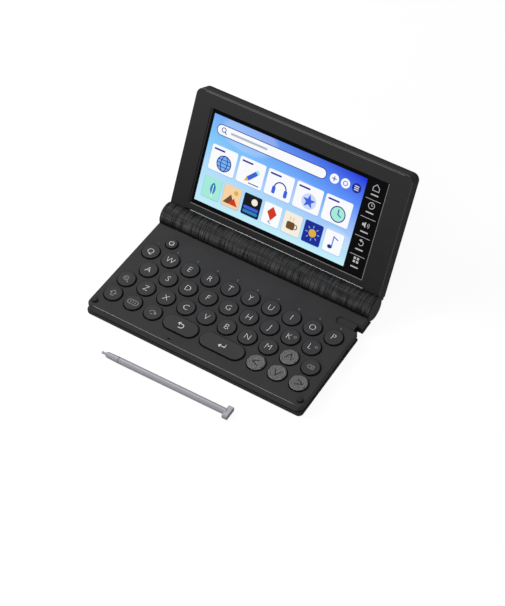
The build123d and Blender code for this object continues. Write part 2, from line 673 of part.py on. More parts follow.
def make_battery_barrel():
    """Middle hinge segment: a tube that holds the cells, with cross walls and hinge seats."""
    barrel = barrel_rod(BARREL_R, -BARREL_HALF, BARREL_HALF)
    barrel -= barrel_rod(BARREL_BORE, -BULKHEAD_X, BULKHEAD_X)
    hinge_out = BARREL_HALF - BARREL_END_T
    for side in (-1, 1):
        barrel -= barrel_rod(BARREL_BORE, *sorted((side * HOUSING_X, side * hinge_out)))
        barrel -= barrel_rod(HOUSING_R, *sorted((side * hinge_out, side * (BARREL_HALF + OVER))))
    return barrel - ring_slice(BARREL_BORE - OVER, BARREL_R + OVER, -180, BARREL_LIP_DEG, BULKHEAD_X)


def make_battery_cover():
    """Cover under the cells: flat in front, then wrapped up the back of the barrel."""
    wrap = ring_slice(BARREL_R - COVER_T, BARREL_R, -90, COVER_TOP_DEG, COVER_HALF)
    flat = block((-COVER_HALF, COVER_HALF), (COVER_FRONT_Y, AXIS_Y), (FOOT_H, FOOT_H + COVER_T))
    return wrap + flat


def make_battery_cells():
    """Two AA cells, end to end."""
    cells = []
    for start in (-CELL_L, 0):
        body = barrel_rod(CELL_R, start, start + CELL_L - CELL_NUB_L)
        body += barrel_rod(CELL_NUB_R, start + CELL_L - CELL_NUB_L, start + CELL_L)
        cells.append(body)
    return Compound(children=cells)


def make_battery_contacts():
    """Contact plate with its spring stub at each end of the cells."""
    contacts = []
    for side in (-1, 1):
        plate = barrel_rod(CONTACT_R, *sorted((side * CONTACT_X, side * BULKHEAD_X)))
        contacts.append(plate + barrel_rod(CONTACT_STUB_R, *sorted((side * CELL_L, side * CONTACT_X))))
    return Compound(children=contacts)


def make_hinge_housings():
    """Friction housings in both ends of the barrel, bored for the shafts."""
    housings = []
    for side in (-1, 1):
        span = sorted((side * HOUSING_X, side * BARREL_HALF))
        housings.append(barrel_rod(HOUSING_R, *span) - barrel_rod(SHAFT_R + SHAFT_RUN_GAP, *span))
    return Compound(children=housings)


def make_hinge_shafts():
    """Shafts that are fixed in the lid's knuckles and turn in the housings."""
    shafts = []
    for side in (-1, 1):
        inner = HOUSING_X + TURN_GAP
        outer = KNUCKLE_END - KNUCKLE_END_T
        shafts.append(barrel_rod(SHAFT_R, *sorted((side * inner, side * outer))))
    return Compound(children=shafts)


def make_hinge_knuckles():
    """The lid's two end segments: hollow caps with a boss round the shaft."""
    knuckles = []
    for side in (-1, 1):
        knuckle = barrel_rod(BARREL_R, *sorted((side * KNUCKLE_IN, side * KNUCKLE_END)))
        rim = knuckle.edges().sort_by(Axis.X)[-1 if side > 0 else 0]
        knuckle = fillet(rim, KNUCKLE_EDGE_R)
        cavity = sorted((side * KNUCKLE_IN, side * (KNUCKLE_END - KNUCKLE_END_T)))
        knuckle -= barrel_rod(BARREL_R - KNUCKLE_WALL, *cavity) - barrel_rod(SHAFT_BOSS_R, *cavity)
        knuckles.append(knuckle - barrel_rod(SHAFT_R, *cavity))
    return Compound(children=knuckles)


# ---------------------------------------------------------------- lid, in its own frame
def lid_rod(radius, half_length):
    """A cylinder on the hinge axis, in the lid's frame."""
    return Rot(0, 90, 0) * Cylinder(radius, 2 * half_length)


def lid_hollow(grow):
    """The lid's hollow round the barrel: free of the middle segment, seated on the knuckles."""
    return lid_rod(LID_HOLLOW_R + grow, KNUCKLE_IN + grow) + lid_rod(BARREL_R + grow, HALF_W + OVER)


def lid_heels(wall=0):
    """What the lid's sides leave free beside the barrel, grown by a wall where asked."""
    inner = LID_HALF - LID_HEEL_R
    corner_y = LID_HEEL + LID_HEEL_R
    depth = (-LID_BACK - OVER, 0)

    def heel(side):
        outer = side * (HALF_W + OVER)
        room = block(sorted((side * (inner - wall), outer)), (0, LID_HEEL + wall), depth)
        corner = block(sorted((side * inner, outer)), (LID_HEEL, corner_y), depth)
        return room + (corner - post(LID_HEEL_R, side * inner, corner_y, *depth))

    return both_sides(heel)


def make_lid_back_cover():
    """Back cover: a shallow tray with soft edges and posts for the screen."""
    outline = lid_plan(LID_HALF, (LID_TAIL, LID_TOP), LID_CORNER_R)
    cover = extrude(Pos(0, 0, -LID_BACK) * outline, amount=LID_BACK - LID_SEAM)
    cover = fillet(cover.faces().sort_by(Axis.Z)[0].edges(), BACK_EDGE_R)
    inner = lid_plan(LID_HALF - LID_WALL, (0, LID_TOP - LID_WALL), LID_CORNER_R - LID_WALL)
    pocket = extrude(Pos(0, 0, LID_SKIN - LID_BACK) * inner, amount=LID_BACK)
    cover -= pocket - lid_hollow(LID_SKIN) - lid_heels(LID_WALL)
    tray_back = LID_FACE + GLASS_INSET + GLASS_T + PANEL_T + TRAY_T
    for x in (PANEL_X - PANEL_W / 3, PANEL_X + PANEL_W / 3):
        for y in (GLASS_MID - PANEL_H / 3, GLASS_MID + PANEL_H / 3):
            cover += post(STANDOFF_R, x, y, LID_SKIN - LID_BACK, -tray_back)
    return LID_PLACE * (cover - lid_hollow(0) - lid_heels())


def make_lid_bezel():
    """Front shell of the lid: face, side walls, ledge for the glass and a bevel along the chin."""
    outline = lid_plan(LID_HALF, (0, LID_TOP), LID_CORNER_R)
    bezel = extrude(Pos(0, 0, -LID_SEAM) * outline, amount=LID_SEAM - LID_FACE)
    face_edges = bezel.faces().sort_by(Axis.Z)[-1].edges().sort_by(Axis.Y)[1:]
    bezel = fillet(face_edges, BEZEL_EDGE_R)
    inner = lid_plan(LID_HALF - LID_WALL, (0, LID_TOP - LID_WALL), LID_CORNER_R - LID_WALL)
    pocket = extrude(Pos(0, 0, -LID_SEAM - OVER) * inner, amount=LID_SEAM + OVER - LID_FACE - BEZEL_T)
    bezel -= pocket - lid_hollow(LID_SKIN) - lid_heels(LID_WALL)
    ledge_z = LID_FACE + GLASS_INSET + GLASS_T
    bezel += Pos(0, GLASS_MID, -ledge_z - LEDGE_T / 2) * Box(
        GLASS_W + 4 * LEDGE_W, GLASS_H + 4 * LEDGE_W, LEDGE_T
    )
    bezel -= Pos(0, GLASS_MID, -ledge_z / 2) * Box(
        GLASS_W + 2 * GLASS_GAP, GLASS_H + 2 * GLASS_GAP, ledge_z
    )
    bezel -= Pos(0, GLASS_MID, -LID_BACK / 2) * Box(GLASS_W - 2 * LEDGE_W, GLASS_H - 2 * LEDGE_W, LID_BACK)
    bezel -= lid_hollow(0) + lid_heels()
    chin_y = math.sqrt(LID_HOLLOW_R**2 - LID_FACE**2)
    bevel = [
        (chin_y + CHIN_BEVEL, -LID_FACE),
        (chin_y + CHIN_BEVEL, -LID_FACE + CHIN_BEVEL),
        (chin_y - 2 * CHIN_BEVEL, -LID_FACE + CHIN_BEVEL),
        (chin_y - 2 * CHIN_BEVEL, -LID_FACE - 3 * CHIN_BEVEL),
    ]
    cutter = extrude(Plane.YZ * make_face(Polyline(*bevel, close=True)), amount=KNUCKLE_IN, both=True)
    return LID_PLACE * (bezel - cutter)


def make_touch_glass():
    """Cover glass over the screen and the key strip beside it."""
    z = -(LID_FACE + GLASS_INSET + GLASS_T / 2)
    return LID_PLACE * (Pos(0, GLASS_MID, z) * Box(GLASS_W, GLASS_H, GLASS_T))


def make_lcd_module():
    """The screen: liquid-crystal panel in front of its backlight tray."""
    panel_z = LID_FACE + GLASS_INSET + GLASS_T
    panel = Pos(PANEL_X, GLASS_MID, -panel_z - PANEL_T / 2) * Box(PANEL_W, PANEL_H, PANEL_T)
    tray_z = panel_z + PANEL_T + TRAY_T / 2
    tray = Pos(PANEL_X, GLASS_MID, -tray_z) * Box(PANEL_W + 2 * TRAY_LAP, PANEL_H + 2 * TRAY_LAP, TRAY_T)
    return Compound(children=[LID_PLACE * panel, LID_PLACE * tray])


# ---------------------------------------------------------------- stylus
def make_stylus():
    """Stylus with a tip, a tapered collar behind a groove and a cross bar, lying on the table."""
    end = STYLUS_L
    shaft_start = STYLUS_TIP_L + STYLUS_NOSE_L
    shaft_end = end - STYLUS_HEAD_T + STYLUS_HEAD_ROOT
    cone_end = STYLUS_TIP_L + STYLUS_CONE_L
    profile = [
        (0, 0),
        (0, STYLUS_TIP_R),
        (STYLUS_TIP_L, STYLUS_TIP_R),
        (STYLUS_TIP_L, STYLUS_NOSE_R),
        (cone_end, STYLUS_COLLAR_R),
        (shaft_start - STYLUS_GROOVE_L, STYLUS_R),
        (shaft_start - STYLUS_GROOVE_L, STYLUS_R - STYLUS_GROOVE_D),
        (shaft_start, STYLUS_R - STYLUS_GROOVE_D),
        (shaft_start, STYLUS_R),
        (shaft_end, STYLUS_R),
        (shaft_end, 0),
    ]
    shaft = revolve(Plane.XZ * make_face(Polyline(*profile, close=True)), Axis.X)
    head = Pos(end - STYLUS_HEAD_T / 2, 0, 0) * Box(STYLUS_HEAD_T, STYLUS_HEAD_L, STYLUS_HEAD_HT)
    head = chamfer(head.edges().filter_by(Axis.X), STYLUS_HEAD_EDGE)
    stylus = Pos(-STYLUS_L, 0, 0) * (shaft + head)
    return Pos(STYLUS_X, FRONT_Y + STYLUS_Y, STYLUS_R) * Rot(0, 0, STYLUS_TURN) * stylus


# ---------------------------------------------------------------- write every node
def main():
    """Build and export the whole object."""
    os.makedirs("parts", exist_ok=True)
    makers = {
        "bottom_case": make_bottom_case,
        "key_deck": make_key_deck,
        "battery_barrel": make_battery_barrel,
        "battery_cover": make_battery_cover,
        "battery_cells": make_battery_cells,
        "battery_contacts": make_battery_contacts,
        "main_board": make_main_board,
        "key_rubber_sheet": make_rubber_sheet,
        "stylus_silo": make_stylus_silo,
        "speaker": make_speaker,
        "data_port": make_data_port,
        "case_screws": make_case_screws,
        "rubber_feet": make_rubber_feet,
        "stop_pads": make_stop_pads,
        "hinge_housings": make_hinge_housings,
        "hinge_shafts": make_hinge_shafts,
        "hinge_knuckles": make_hinge_knuckles,
        "lid_back_cover": make_lid_back_cover,
        "lid_bezel": make_lid_bezel,
        "touch_glass": make_touch_glass,
        "lcd_module": make_lcd_module,
        "stylus": make_stylus,
    }
    for name, make in makers.items():
        save(make(), name)
    rims = key_outlines(KEY_FLANGE)
    for name, cap in key_outlines(0).items():
        save(make_key(cap, rims[name]), name)


main()
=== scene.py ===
"""Looks of a hinged pocket dictionary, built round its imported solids.

Sizes are in millimetres until a mesh is placed, and then in metres. The lid's pieces are drawn in the lid's
own frame, where x runs along the hinge, y up the screen and z out of it, and are then swung into place.
"""

import json
import logging
import math
from collections.abc import Callable, Iterable, Sequence
from dataclasses import dataclass, field, replace
from enum import Enum
from string import ascii_lowercase

import bmesh
import bpy
from mathutils import Matrix, Vector


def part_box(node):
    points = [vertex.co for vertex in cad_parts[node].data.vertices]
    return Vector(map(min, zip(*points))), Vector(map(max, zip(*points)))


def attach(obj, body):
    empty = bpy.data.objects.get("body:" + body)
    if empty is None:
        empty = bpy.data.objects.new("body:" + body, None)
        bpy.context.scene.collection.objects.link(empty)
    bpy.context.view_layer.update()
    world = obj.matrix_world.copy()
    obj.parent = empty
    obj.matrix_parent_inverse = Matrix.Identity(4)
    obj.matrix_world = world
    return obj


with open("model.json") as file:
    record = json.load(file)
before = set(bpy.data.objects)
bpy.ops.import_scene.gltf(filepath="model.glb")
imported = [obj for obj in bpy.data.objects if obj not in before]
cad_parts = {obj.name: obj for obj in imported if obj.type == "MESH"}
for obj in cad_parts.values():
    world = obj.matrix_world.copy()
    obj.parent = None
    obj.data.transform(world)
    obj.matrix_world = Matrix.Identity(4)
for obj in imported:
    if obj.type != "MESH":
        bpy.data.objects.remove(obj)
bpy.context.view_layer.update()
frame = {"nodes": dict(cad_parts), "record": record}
log = logging.getLogger("dictionary")

Point = tuple[float, float]
Spot = tuple[float, float, float]
Direction = tuple[float, float, float]
Colour = tuple[float, float, float, float]
Socket = bpy.types.NodeSocket
Tree = bpy.types.NodeTree

UPWARDS: Direction = (0, 0, 1)
RIGHTWARDS: Direction = (1, 0, 0)

MM = 0.001                      # metres in a millimetre
RENDER_W, RENDER_H = 505, 606   # the picture's frame
PLAN = "plan"                   # name of the UV map that flat artwork carries
CLOUD = (0.3, 0.7)              # values between which nearly all of a noise lies
WAVE_LENGTH = 0.314             # length of a wave of the wave texture at a scale of 1


# ---------------------------------------------------------------- colour and nodes
def linear(code: str) -> Colour:
    """Turns an sRGB hex colour into a linear one.

    Args:
        code: Colour as "#rrggbb".
    Returns:
        Linear red, green and blue, and an opacity of 1.
    """
    values = [int(code[i:i + 2], 16) / 255 for i in (1, 3, 5)]
    red, green, blue = (v / 12.92 if v <= 0.04045 else ((v + 0.055) / 1.055) ** 2.4 for v in values)
    return red, green, blue, 1.0


def shaded(colour: Colour, share: float) -> Colour:
    """A colour made darker or lighter by a share of itself."""
    return colour[0] * share, colour[1] * share, colour[2] * share, colour[3]


def per_metre(size_mm: float) -> float:
    """Scale at which a pattern's features have a size."""
    return 1 / (size_mm * MM)


def new_material(name: str) -> tuple[bpy.types.Material, Tree]:
    """Makes an empty node material.

    Args:
        name: Name of the material.
    Returns:
        The material and its node tree.
    """
    material = bpy.data.materials.new(name)
    material.use_nodes = True
    material.node_tree.nodes.clear()
    return material, material.node_tree


def add_node(tree: Tree, kind: str, inputs: dict | None = None, **settings: object) -> bpy.types.Node:
    """Adds one node with its settings, socket values and incoming links.

    Args:
        tree: Node tree that takes the node.
        kind: Blender's name of the node type.
        inputs: What each input gets, by its name or number: a value, or the output socket that feeds it.
        settings: Properties of the node.
    Returns:
        The new node.
    """
    node = tree.nodes.new(kind)
    for key, value in settings.items():
        setattr(node, key, value)
    for key, given in (inputs or {}).items():
        if isinstance(given, Socket):
            tree.links.new(given, node.inputs[key])
        else:
            node.inputs[key].default_value = given
    return node


def squareness(tree: Tree, way: Direction) -> Socket:
    """Finds how squarely the faces of a piece look one way.

    Args:
        tree: Node tree of the material.
        way: The direction, in the object's own axes.
    Returns:
        The cosine between a face's normal and the way.
    """
    normal = add_node(tree, "ShaderNodeTexCoord").outputs["Normal"]
    return add_node(tree, "ShaderNodeVectorMath", {0: normal, 1: Vector(way).normalized()},
                    operation="DOT_PRODUCT").outputs["Value"]


@dataclass(frozen=True)
class Coat:
    """A tone that lies over another where a pattern runs from one value to the next."""

    tone: Colour | Socket
    pattern: Socket
    bare: float             # value of the pattern at which it doesn't show
    full: float             # value at which it covers fully
    cover: float | Socket = 1.0


def coated(tree: Tree, tone: Colour | Socket, *coats: Coat) -> Socket:
    """Lays coats over a tone, one after another.

    Args:
        tree: Node tree of the material.
        tone: What lies under them.
        coats: The coats, lowest first.
    Returns:
        The colour with all its coats.
    """
    for coat in coats:
        share = add_node(tree, "ShaderNodeMapRange", {"Value": coat.pattern, "From Min": coat.bare,
                                                      "From Max": coat.full, "To Max": coat.cover})
        tone = add_node(tree, "ShaderNodeMix", {0: share.outputs[0], 6: tone, 7: coat.tone},
                        data_type="RGBA").outputs[2]
    return tone


def surface(tree: Tree, inputs: dict, relief: Socket | None = None, depth_mm: float = 0.0) -> None:
    """Adds the main shader, its bump and the output.

    Args:
        tree: Node tree of the material.
        inputs: What the shader's inputs get: constants, and sockets that feed them.
        relief: Height pattern.
        depth_mm: Depth of the height pattern.
    """
    if relief is not None:
        bump = add_node(tree, "ShaderNodeBump",
                        {"Height": relief, "Distance": depth_mm * MM, "Strength": 1.0})
        inputs = {**inputs, "Normal": bump.outputs[0]}
    shader = add_node(tree, "ShaderNodeBsdfPrincipled", inputs)
    add_node(tree, "ShaderNodeOutputMaterial", {"Surface": shader.outputs[0]})


# ---------------------------------------------------------------- finishes
@dataclass(frozen=True)
class MouldedPlastic:
    """ABS from a spark-eroded mould: a dull, even skin whose fine grain breaks up every highlight."""

    name: str
    colour: str
    roughness: float = 0.75
    specular: float = 0.1
    grain_mm: float = 0.5       # the real grain is about 0.1 mm; drawn coarser so that it shows
    grain_depth_mm: float = 0.012
    grain_light: float = 1.3    # tone of the grain's tops, as a share of the base
    grain_cover: float = 0.35   # how much of that tone shows
    drift: float = 0.05         # how far the grain shifts the roughness up and down
    mottle_mm: float = 22.0     # slow change of tone from the flow of the melt
    mottle: float = 0.07
    wall_shade: str = ""              # its walls, painted darker than its main face as the shade they stand in
    face_way: Direction = UPWARDS   # the way that its main face looks
    painted_highlight: str = ""            # colour of a painted highlight on the faces that look the ways below
    painted_highlight_ways: tuple[Direction, ...] = ()
    painted_highlight_half_mm: float = 100.0   # half the length of the painted highlight, along X
    painted_highlight_fade_mm: float = 2.0         # and the length over which it ends
    painted_light_mm: Point | None = None    # heights between which it is painted lighter and lighter, as light on its upper part away from the deck's shade
    painted_light_tone: float = 1.7          # tone at the upper one, as a share of the base
    groove_shade_mm: float | None = None      # height from which it is painted dark, as the shade in the recessed groove under the deck's lip
    groove_shade_fade_mm: float = 0.3
    groove_shade_tone: float = 0.15

    def build(self) -> bpy.types.Material:
        """Makes the material.

        Returns:
            The material.
        """
        material, tree = new_material(self.name)
        place = add_node(tree, "ShaderNodeTexCoord").outputs["Object"]
        flow = add_node(tree, "ShaderNodeTexNoise", {"Vector": place, "Scale": per_metre(self.mottle_mm),
                                                     "Detail": 2.0}).outputs[0]
        grain = add_node(tree, "ShaderNodeTexNoise", {"Vector": place, "Scale": per_metre(self.grain_mm),
                                                      "Detail": 3.0}).outputs[0]
        base = linear(self.colour)
        tone = coated(tree, shaded(base, 1 - self.mottle), Coat(shaded(base, 1 + self.mottle), flow, *CLOUD),
                      Coat(shaded(base, self.grain_light), grain, bare=0.5, full=0.8, cover=self.grain_cover),
                      *self.painted_light_and_shade(tree, place))
        gloss = add_node(tree, "ShaderNodeMapRange",
                         {"Value": grain, "From Min": CLOUD[0], "From Max": CLOUD[1],
                          "To Min": self.roughness - self.drift,
                          "To Max": self.roughness + self.drift}).outputs[0]
        surface(tree, {"Base Color": tone, "Roughness": gloss, "Specular IOR Level": self.specular}, grain,
                self.grain_depth_mm)
        return material

    def painted_light_and_shade(self, tree: Tree, place: Socket) -> list[Coat]:
        """Finds where light and shade are painted on the skin: lighter up high, dark in the groove, darker on
        the walls and lighter along edges.

        Args:
            tree: Node tree of the material.
            place: Coordinates on the piece.
        Returns:
            A coat for each that this plastic has.
        """
        base = linear(self.colour)
        along, _, height = add_node(tree, "ShaderNodeSeparateXYZ", {0: place}).outputs
        coats = []
        # painted light: the piece lightens between two heights
        if self.painted_light_mm:
            low, high = self.painted_light_mm
            coats.append(Coat(shaded(base, self.painted_light_tone), height, bare=low * MM, full=high * MM))
        # painted shade of the groove
        if self.groove_shade_mm:
            low, high = self.groove_shade_mm - self.groove_shade_fade_mm, self.groove_shade_mm
            coats.append(Coat(shaded(base, self.groove_shade_tone), height, bare=low * MM, full=high * MM))
        # painted shade: faces that turn from the main face take the darker wall colour
        if self.wall_shade:
            coats.append(Coat(linear(self.wall_shade), squareness(tree, self.face_way), bare=0.85, full=0.5))
        # painted highlight on the faces that look the given ways, within a stretch along X
        if self.painted_highlight:
            off = add_node(tree, "ShaderNodeMath", {0: along}, operation="ABSOLUTE").outputs[0]
            reach = add_node(tree, "ShaderNodeMapRange",
                             {"Value": off, "From Min": self.painted_highlight_half_mm * MM,
                              "From Max": (self.painted_highlight_half_mm - self.painted_highlight_fade_mm) * MM}).outputs[0]
            coats += [Coat(linear(self.painted_highlight), squareness(tree, way), bare=0.94, full=0.975, cover=reach)
                      for way in self.painted_highlight_ways]
        return coats


@dataclass(frozen=True)
class CrossBrushedPlastic:
    """Black ABS sleeve with fine cut lines round and along it, which give a silky, woven-looking sheen,
    painted brighter and darker in bands round it.
    """

    name: str
    colour: str
    light: str
    centre: Point               # y and z of the sleeve's axis, in metres
    radius_mm: float
    round_mm: Point = (0.8, 16.0)   # spacing and length of the lines round the sleeve
    along_mm: Point = (16.0, 1.2)   # length and spacing of the lines along it
    round_weight: float = 2.5       # how much stronger the lines round it are than those along it
    weave_range: Point = (1.3, 2.3)     # summed line heights from the deepest to the most polished
    depth_mm: float = 0.006
    # degrees up from the rear, and the share of the light tone that shows there: painted sheen in bands, and
    # painted shade towards the deck
    painted_sheen_bands: tuple[Point, ...] = ((60.0, 0.4), (85.0, 0.7), (100.0, 0.8), (120.0, 0.5), (140.0, 1.0),
                               (158.0, 0.45), (174.0, 0.0))

    def build(self) -> bpy.types.Material:
        """Makes the material.

        Returns:
            The material.
        """
        material, tree = new_material(self.name)
        place = add_node(tree, "ShaderNodeTexCoord").outputs["Object"]
        centred = add_node(tree, "ShaderNodeMapping",
                           {"Vector": place, "Location": (0, -self.centre[0], -self.centre[1])})
        along, behind, over = add_node(tree, "ShaderNodeSeparateXYZ", {0: centred.outputs[0]}).outputs
        turn = add_node(tree, "ShaderNodeMath", {0: over, 1: behind}, operation="ARCTAN2").outputs[0]
        arc = add_node(tree, "ShaderNodeMath", {0: turn, 1: self.radius_mm * MM},
                       operation="MULTIPLY").outputs[0]
        unrolled = add_node(tree, "ShaderNodeCombineXYZ", {0: along, 1: arc}).outputs[0]
        lines = []
        for length, width in (self.round_mm, self.along_mm):
            scale = (per_metre(length), per_metre(width), 1)
            stretched = add_node(tree, "ShaderNodeMapping", {"Vector": unrolled, "Scale": scale}).outputs[0]
            lines.append(add_node(tree, "ShaderNodeTexNoise", {"Vector": stretched, "Scale": 1.0,
                                                               "Detail": 3.0}).outputs[0])
        weave = add_node(tree, "ShaderNodeMath", {0: lines[0], 1: self.round_weight, 2: lines[1]},
                         operation="MULTIPLY_ADD").outputs[0]
        low, high = self.weave_range
        dark = linear(self.colour)
        # the cut lines' light tone shows only in the painted bands of sheen
        tone = coated(tree, dark, Coat(linear(self.light), weave, low, high, self.painted_sheen(tree, turn)),
                      # faces turned to the right painted dark, as shade
                      Coat(dark, squareness(tree, RIGHTWARDS), bare=0.6, full=0.9))
        gloss = add_node(tree, "ShaderNodeMapRange", {"Value": weave, "From Min": low, "From Max": high,
                                                      "To Min": 0.6, "To Max": 0.45}).outputs[0]
        surface(tree, {"Base Color": tone, "Roughness": gloss, "Specular IOR Level": 0.05}, weave,
                self.depth_mm)
        return material

    def painted_sheen(self, tree: Tree, turn: Socket) -> Socket:
        """Finds how much of the painted sheen shows at an angle round the sleeve.

        Args:
            tree: Node tree of the material.
            turn: Angle up from the rear, in radians.
        Returns:
            Share of the painted sheen, 0 to 1.
        """
        half_turns = add_node(tree, "ShaderNodeMapRange", {"Value": turn, "From Max": math.pi}).outputs[0]
        ramp = add_node(tree, "ShaderNodeValToRGB", {0: half_turns})
        stops = ramp.color_ramp.elements
        stops.remove(stops[1])
        stops[0].position = self.painted_sheen_bands[0][0] / 180
        for index, (angle, share) in enumerate(self.painted_sheen_bands):
            stop = stops.new(angle / 180) if index else stops[0]
            stop.color = (share, share, share, 1)
        return ramp.outputs[0]


@dataclass(frozen=True)
class SpunLacquer:
    """Grey lacquer over spin-cut plastic: fine broken rings round the key's middle that sparkle."""

    name: str
    dark: str
    light: str
    # colour painted on its walls as their shade
    wall_shade: str
    centre: Spot                # of the key, in metres
    ring_mm: float = 1.0        # real rings are about 0.2 mm apart; drawn coarser so that they show
    speckle_mm: float = 0.7
    depth_mm: float = 0.02

    def build(self) -> bpy.types.Material:
        """Makes the material.

        Returns:
            The material.
        """
        material, tree = new_material(self.name)
        place = add_node(tree, "ShaderNodeTexCoord").outputs["Object"]
        centred = add_node(tree, "ShaderNodeMapping",
                           {"Vector": place, "Location": tuple(-part for part in self.centre)})
        rings = add_node(tree, "ShaderNodeTexWave",
                         {"Vector": centred.outputs[0], "Scale": WAVE_LENGTH * per_metre(self.ring_mm),
                          "Distortion": 5.0, "Detail": 2.0, "Detail Scale": 2.0},
                         wave_type="RINGS", rings_direction="Z").outputs[1]
        speckle = add_node(tree, "ShaderNodeTexNoise", {"Vector": place, "Scale": per_metre(self.speckle_mm),
                                                        "Detail": 3.0}).outputs[0]
        weave = add_node(tree, "ShaderNodeMath", {0: rings, 1: speckle}, operation="MULTIPLY").outputs[0]
        tone = coated(tree, linear(self.dark), Coat(linear(self.light), weave, bare=0.05, full=0.5),
                      # painted shade on the cap's walls
                      Coat(linear(self.wall_shade), squareness(tree, UPWARDS), bare=0.85, full=0.5))
        surface(tree, {"Base Color": tone, "Specular IOR Level": 0.3, "Roughness": 0.5}, weave, self.depth_mm)
        return material


@dataclass(frozen=True)
class PlainMetal:
    """Drawn or plated steel: a bright metal with faint drawing lines."""

    name: str
    colour: str
    roughness: float = 0.35
    drift: float = 0.08         # how far the lines shift the roughness up and down
    line_mm: float = 0.4
    depth_mm: float = 0.004

    def build(self) -> bpy.types.Material:
        """Makes the material.

        Returns:
            The material.
        """
        material, tree = new_material(self.name)
        place = add_node(tree, "ShaderNodeTexCoord").outputs["Object"]
        lines = add_node(tree, "ShaderNodeTexNoise", {"Vector": place, "Scale": per_metre(self.line_mm),
                                                      "Detail": 3.0}).outputs[0]
        base = linear(self.colour)
        tone = coated(tree, shaded(base, 0.85), Coat(base, lines, bare=0.0, full=1.0))
        gloss = add_node(tree, "ShaderNodeMapRange",
                         {"Value": lines, "From Min": CLOUD[0], "From Max": CLOUD[1],
                          "To Min": self.roughness - self.drift,
                          "To Max": self.roughness + self.drift}).outputs[0]
        surface(tree, {"Base Color": tone, "Roughness": gloss, "Metallic": 1.0}, lines, self.depth_mm)
        return material


@dataclass(frozen=True)
class MouldedRubber:
    """Moulded rubber: soft and dull, with a dusty sheen."""

    name: str
    colour: str
    dust_mm: float = 0.8
    dust_tone: float = 1.5      # as a share of the base
    depth_mm: float = 0.02

    def build(self) -> bpy.types.Material:
        """Makes the material.

        Returns:
            The material.
        """
        material, tree = new_material(self.name)
        place = add_node(tree, "ShaderNodeTexCoord").outputs["Object"]
        dust = add_node(tree, "ShaderNodeTexNoise", {"Vector": place, "Scale": per_metre(self.dust_mm),
                                                     "Detail": 3.0}).outputs[0]
        base = linear(self.colour)
        tone = coated(tree, base, Coat(shaded(base, self.dust_tone), dust, *CLOUD, cover=0.6))
        surface(tree, {"Base Color": tone, "Specular IOR Level": 0.25, "Roughness": 0.8}, dust, self.depth_mm)
        return material


@dataclass(frozen=True)
class SolderMask:
    """Green lacquer over etched copper: glossy, with the tracks showing as paler lines."""

    name: str
    colour: str
    track: str
    pitch_mm: float = 3.0       # of the tracks
    depth_mm: float = 0.01

    def build(self) -> bpy.types.Material:
        """Makes the material.

        Returns:
            The material.
        """
        material, tree = new_material(self.name)
        place = add_node(tree, "ShaderNodeTexCoord").outputs["Object"]
        cells = add_node(tree, "ShaderNodeTexVoronoi", {"Vector": place, "Scale": per_metre(self.pitch_mm)},
                         feature="DISTANCE_TO_EDGE", distance="MANHATTAN").outputs[0]
        tone = coated(tree, linear(self.track), Coat(linear(self.colour), cells, bare=0.04, full=0.1))
        surface(tree, {"Base Color": tone, "Roughness": 0.25, "Specular IOR Level": 0.5}, cells,
                self.depth_mm)
        return material


@dataclass(frozen=True)
class CoatedGlass:
    """Cover glass printed black on its back and coated against glare: deep black, with a faint reflection."""

    name: str
    colour: str
    smear_mm: float = 30.0      # finger smears, which dull it here and there

    def build(self) -> bpy.types.Material:
        """Makes the material.

        Returns:
            The material.
        """
        material, tree = new_material(self.name)
        place = add_node(tree, "ShaderNodeTexCoord").outputs["Object"]
        smear = add_node(tree, "ShaderNodeTexNoise", {"Vector": place, "Scale": per_metre(self.smear_mm),
                                                      "Detail": 2.0}).outputs[0]
        gloss = add_node(tree, "ShaderNodeMapRange", {"Value": smear, "From Min": CLOUD[0],
                                                      "From Max": CLOUD[1], "To Min": 0.05,
                                                      "To Max": 0.09}).outputs[0]
        base = linear(self.colour)
        tone = coated(tree, base, Coat(shaded(base, 1.4), smear, bare=0.0, full=1.0))
        surface(tree, {"Base Color": tone, "Roughness": gloss, "Specular IOR Level": 0.03})
        return material


@dataclass(frozen=True)
class PadPrint:
    """Pad-printed ink: thin, matt and slightly uneven."""

    name: str
    colour: str
    patch_mm: float = 0.5
    thin_tone: float = 0.88     # where the ink is thinnest, as a share of its colour

    def build(self) -> bpy.types.Material:
        """Makes the material.

        Returns:
            The material.
        """
        material, tree = new_material(self.name)
        place = add_node(tree, "ShaderNodeTexCoord").outputs["Object"]
        patches = add_node(tree, "ShaderNodeTexNoise", {"Vector": place, "Scale": per_metre(self.patch_mm),
                                                        "Detail": 2.0}).outputs[0]
        base = linear(self.colour)
        tone = coated(tree, shaded(base, self.thin_tone), Coat(base, patches, *CLOUD))
        surface(tree, {"Base Color": tone, "Roughness": 0.6, "Specular IOR Level": 0.3})
        return material


# what a lit screen's own surface is, behind its coated glass
SCREEN_FRONT = {"Base Color": linear("#040405"), "Emission Strength": 1.0, "Roughness": 0.1,
                "Specular IOR Level": 0.03}


@dataclass(frozen=True)
class LitPixels:
    """Screen pixels of one colour: they shine by themselves behind a coated glass."""

    name: str
    colour: str
    patch_mm: float = 0.9       # patches of pixels that shine a little less
    patch_tone: float = 0.97

    def build(self) -> bpy.types.Material:
        """Makes the material.

        Returns:
            The material.
        """
        material, tree = new_material(self.name)
        place = add_node(tree, "ShaderNodeTexCoord").outputs["Object"]
        patches = add_node(tree, "ShaderNodeTexNoise", {"Vector": place, "Scale": per_metre(self.patch_mm),
                                                        "Detail": 0.0}).outputs[0]
        base = linear(self.colour)
        tone = coated(tree, shaded(base, self.patch_tone), Coat(base, patches, bare=0.0, full=1.0))
        surface(tree, {**SCREEN_FRONT, "Emission Color": tone})
        return material


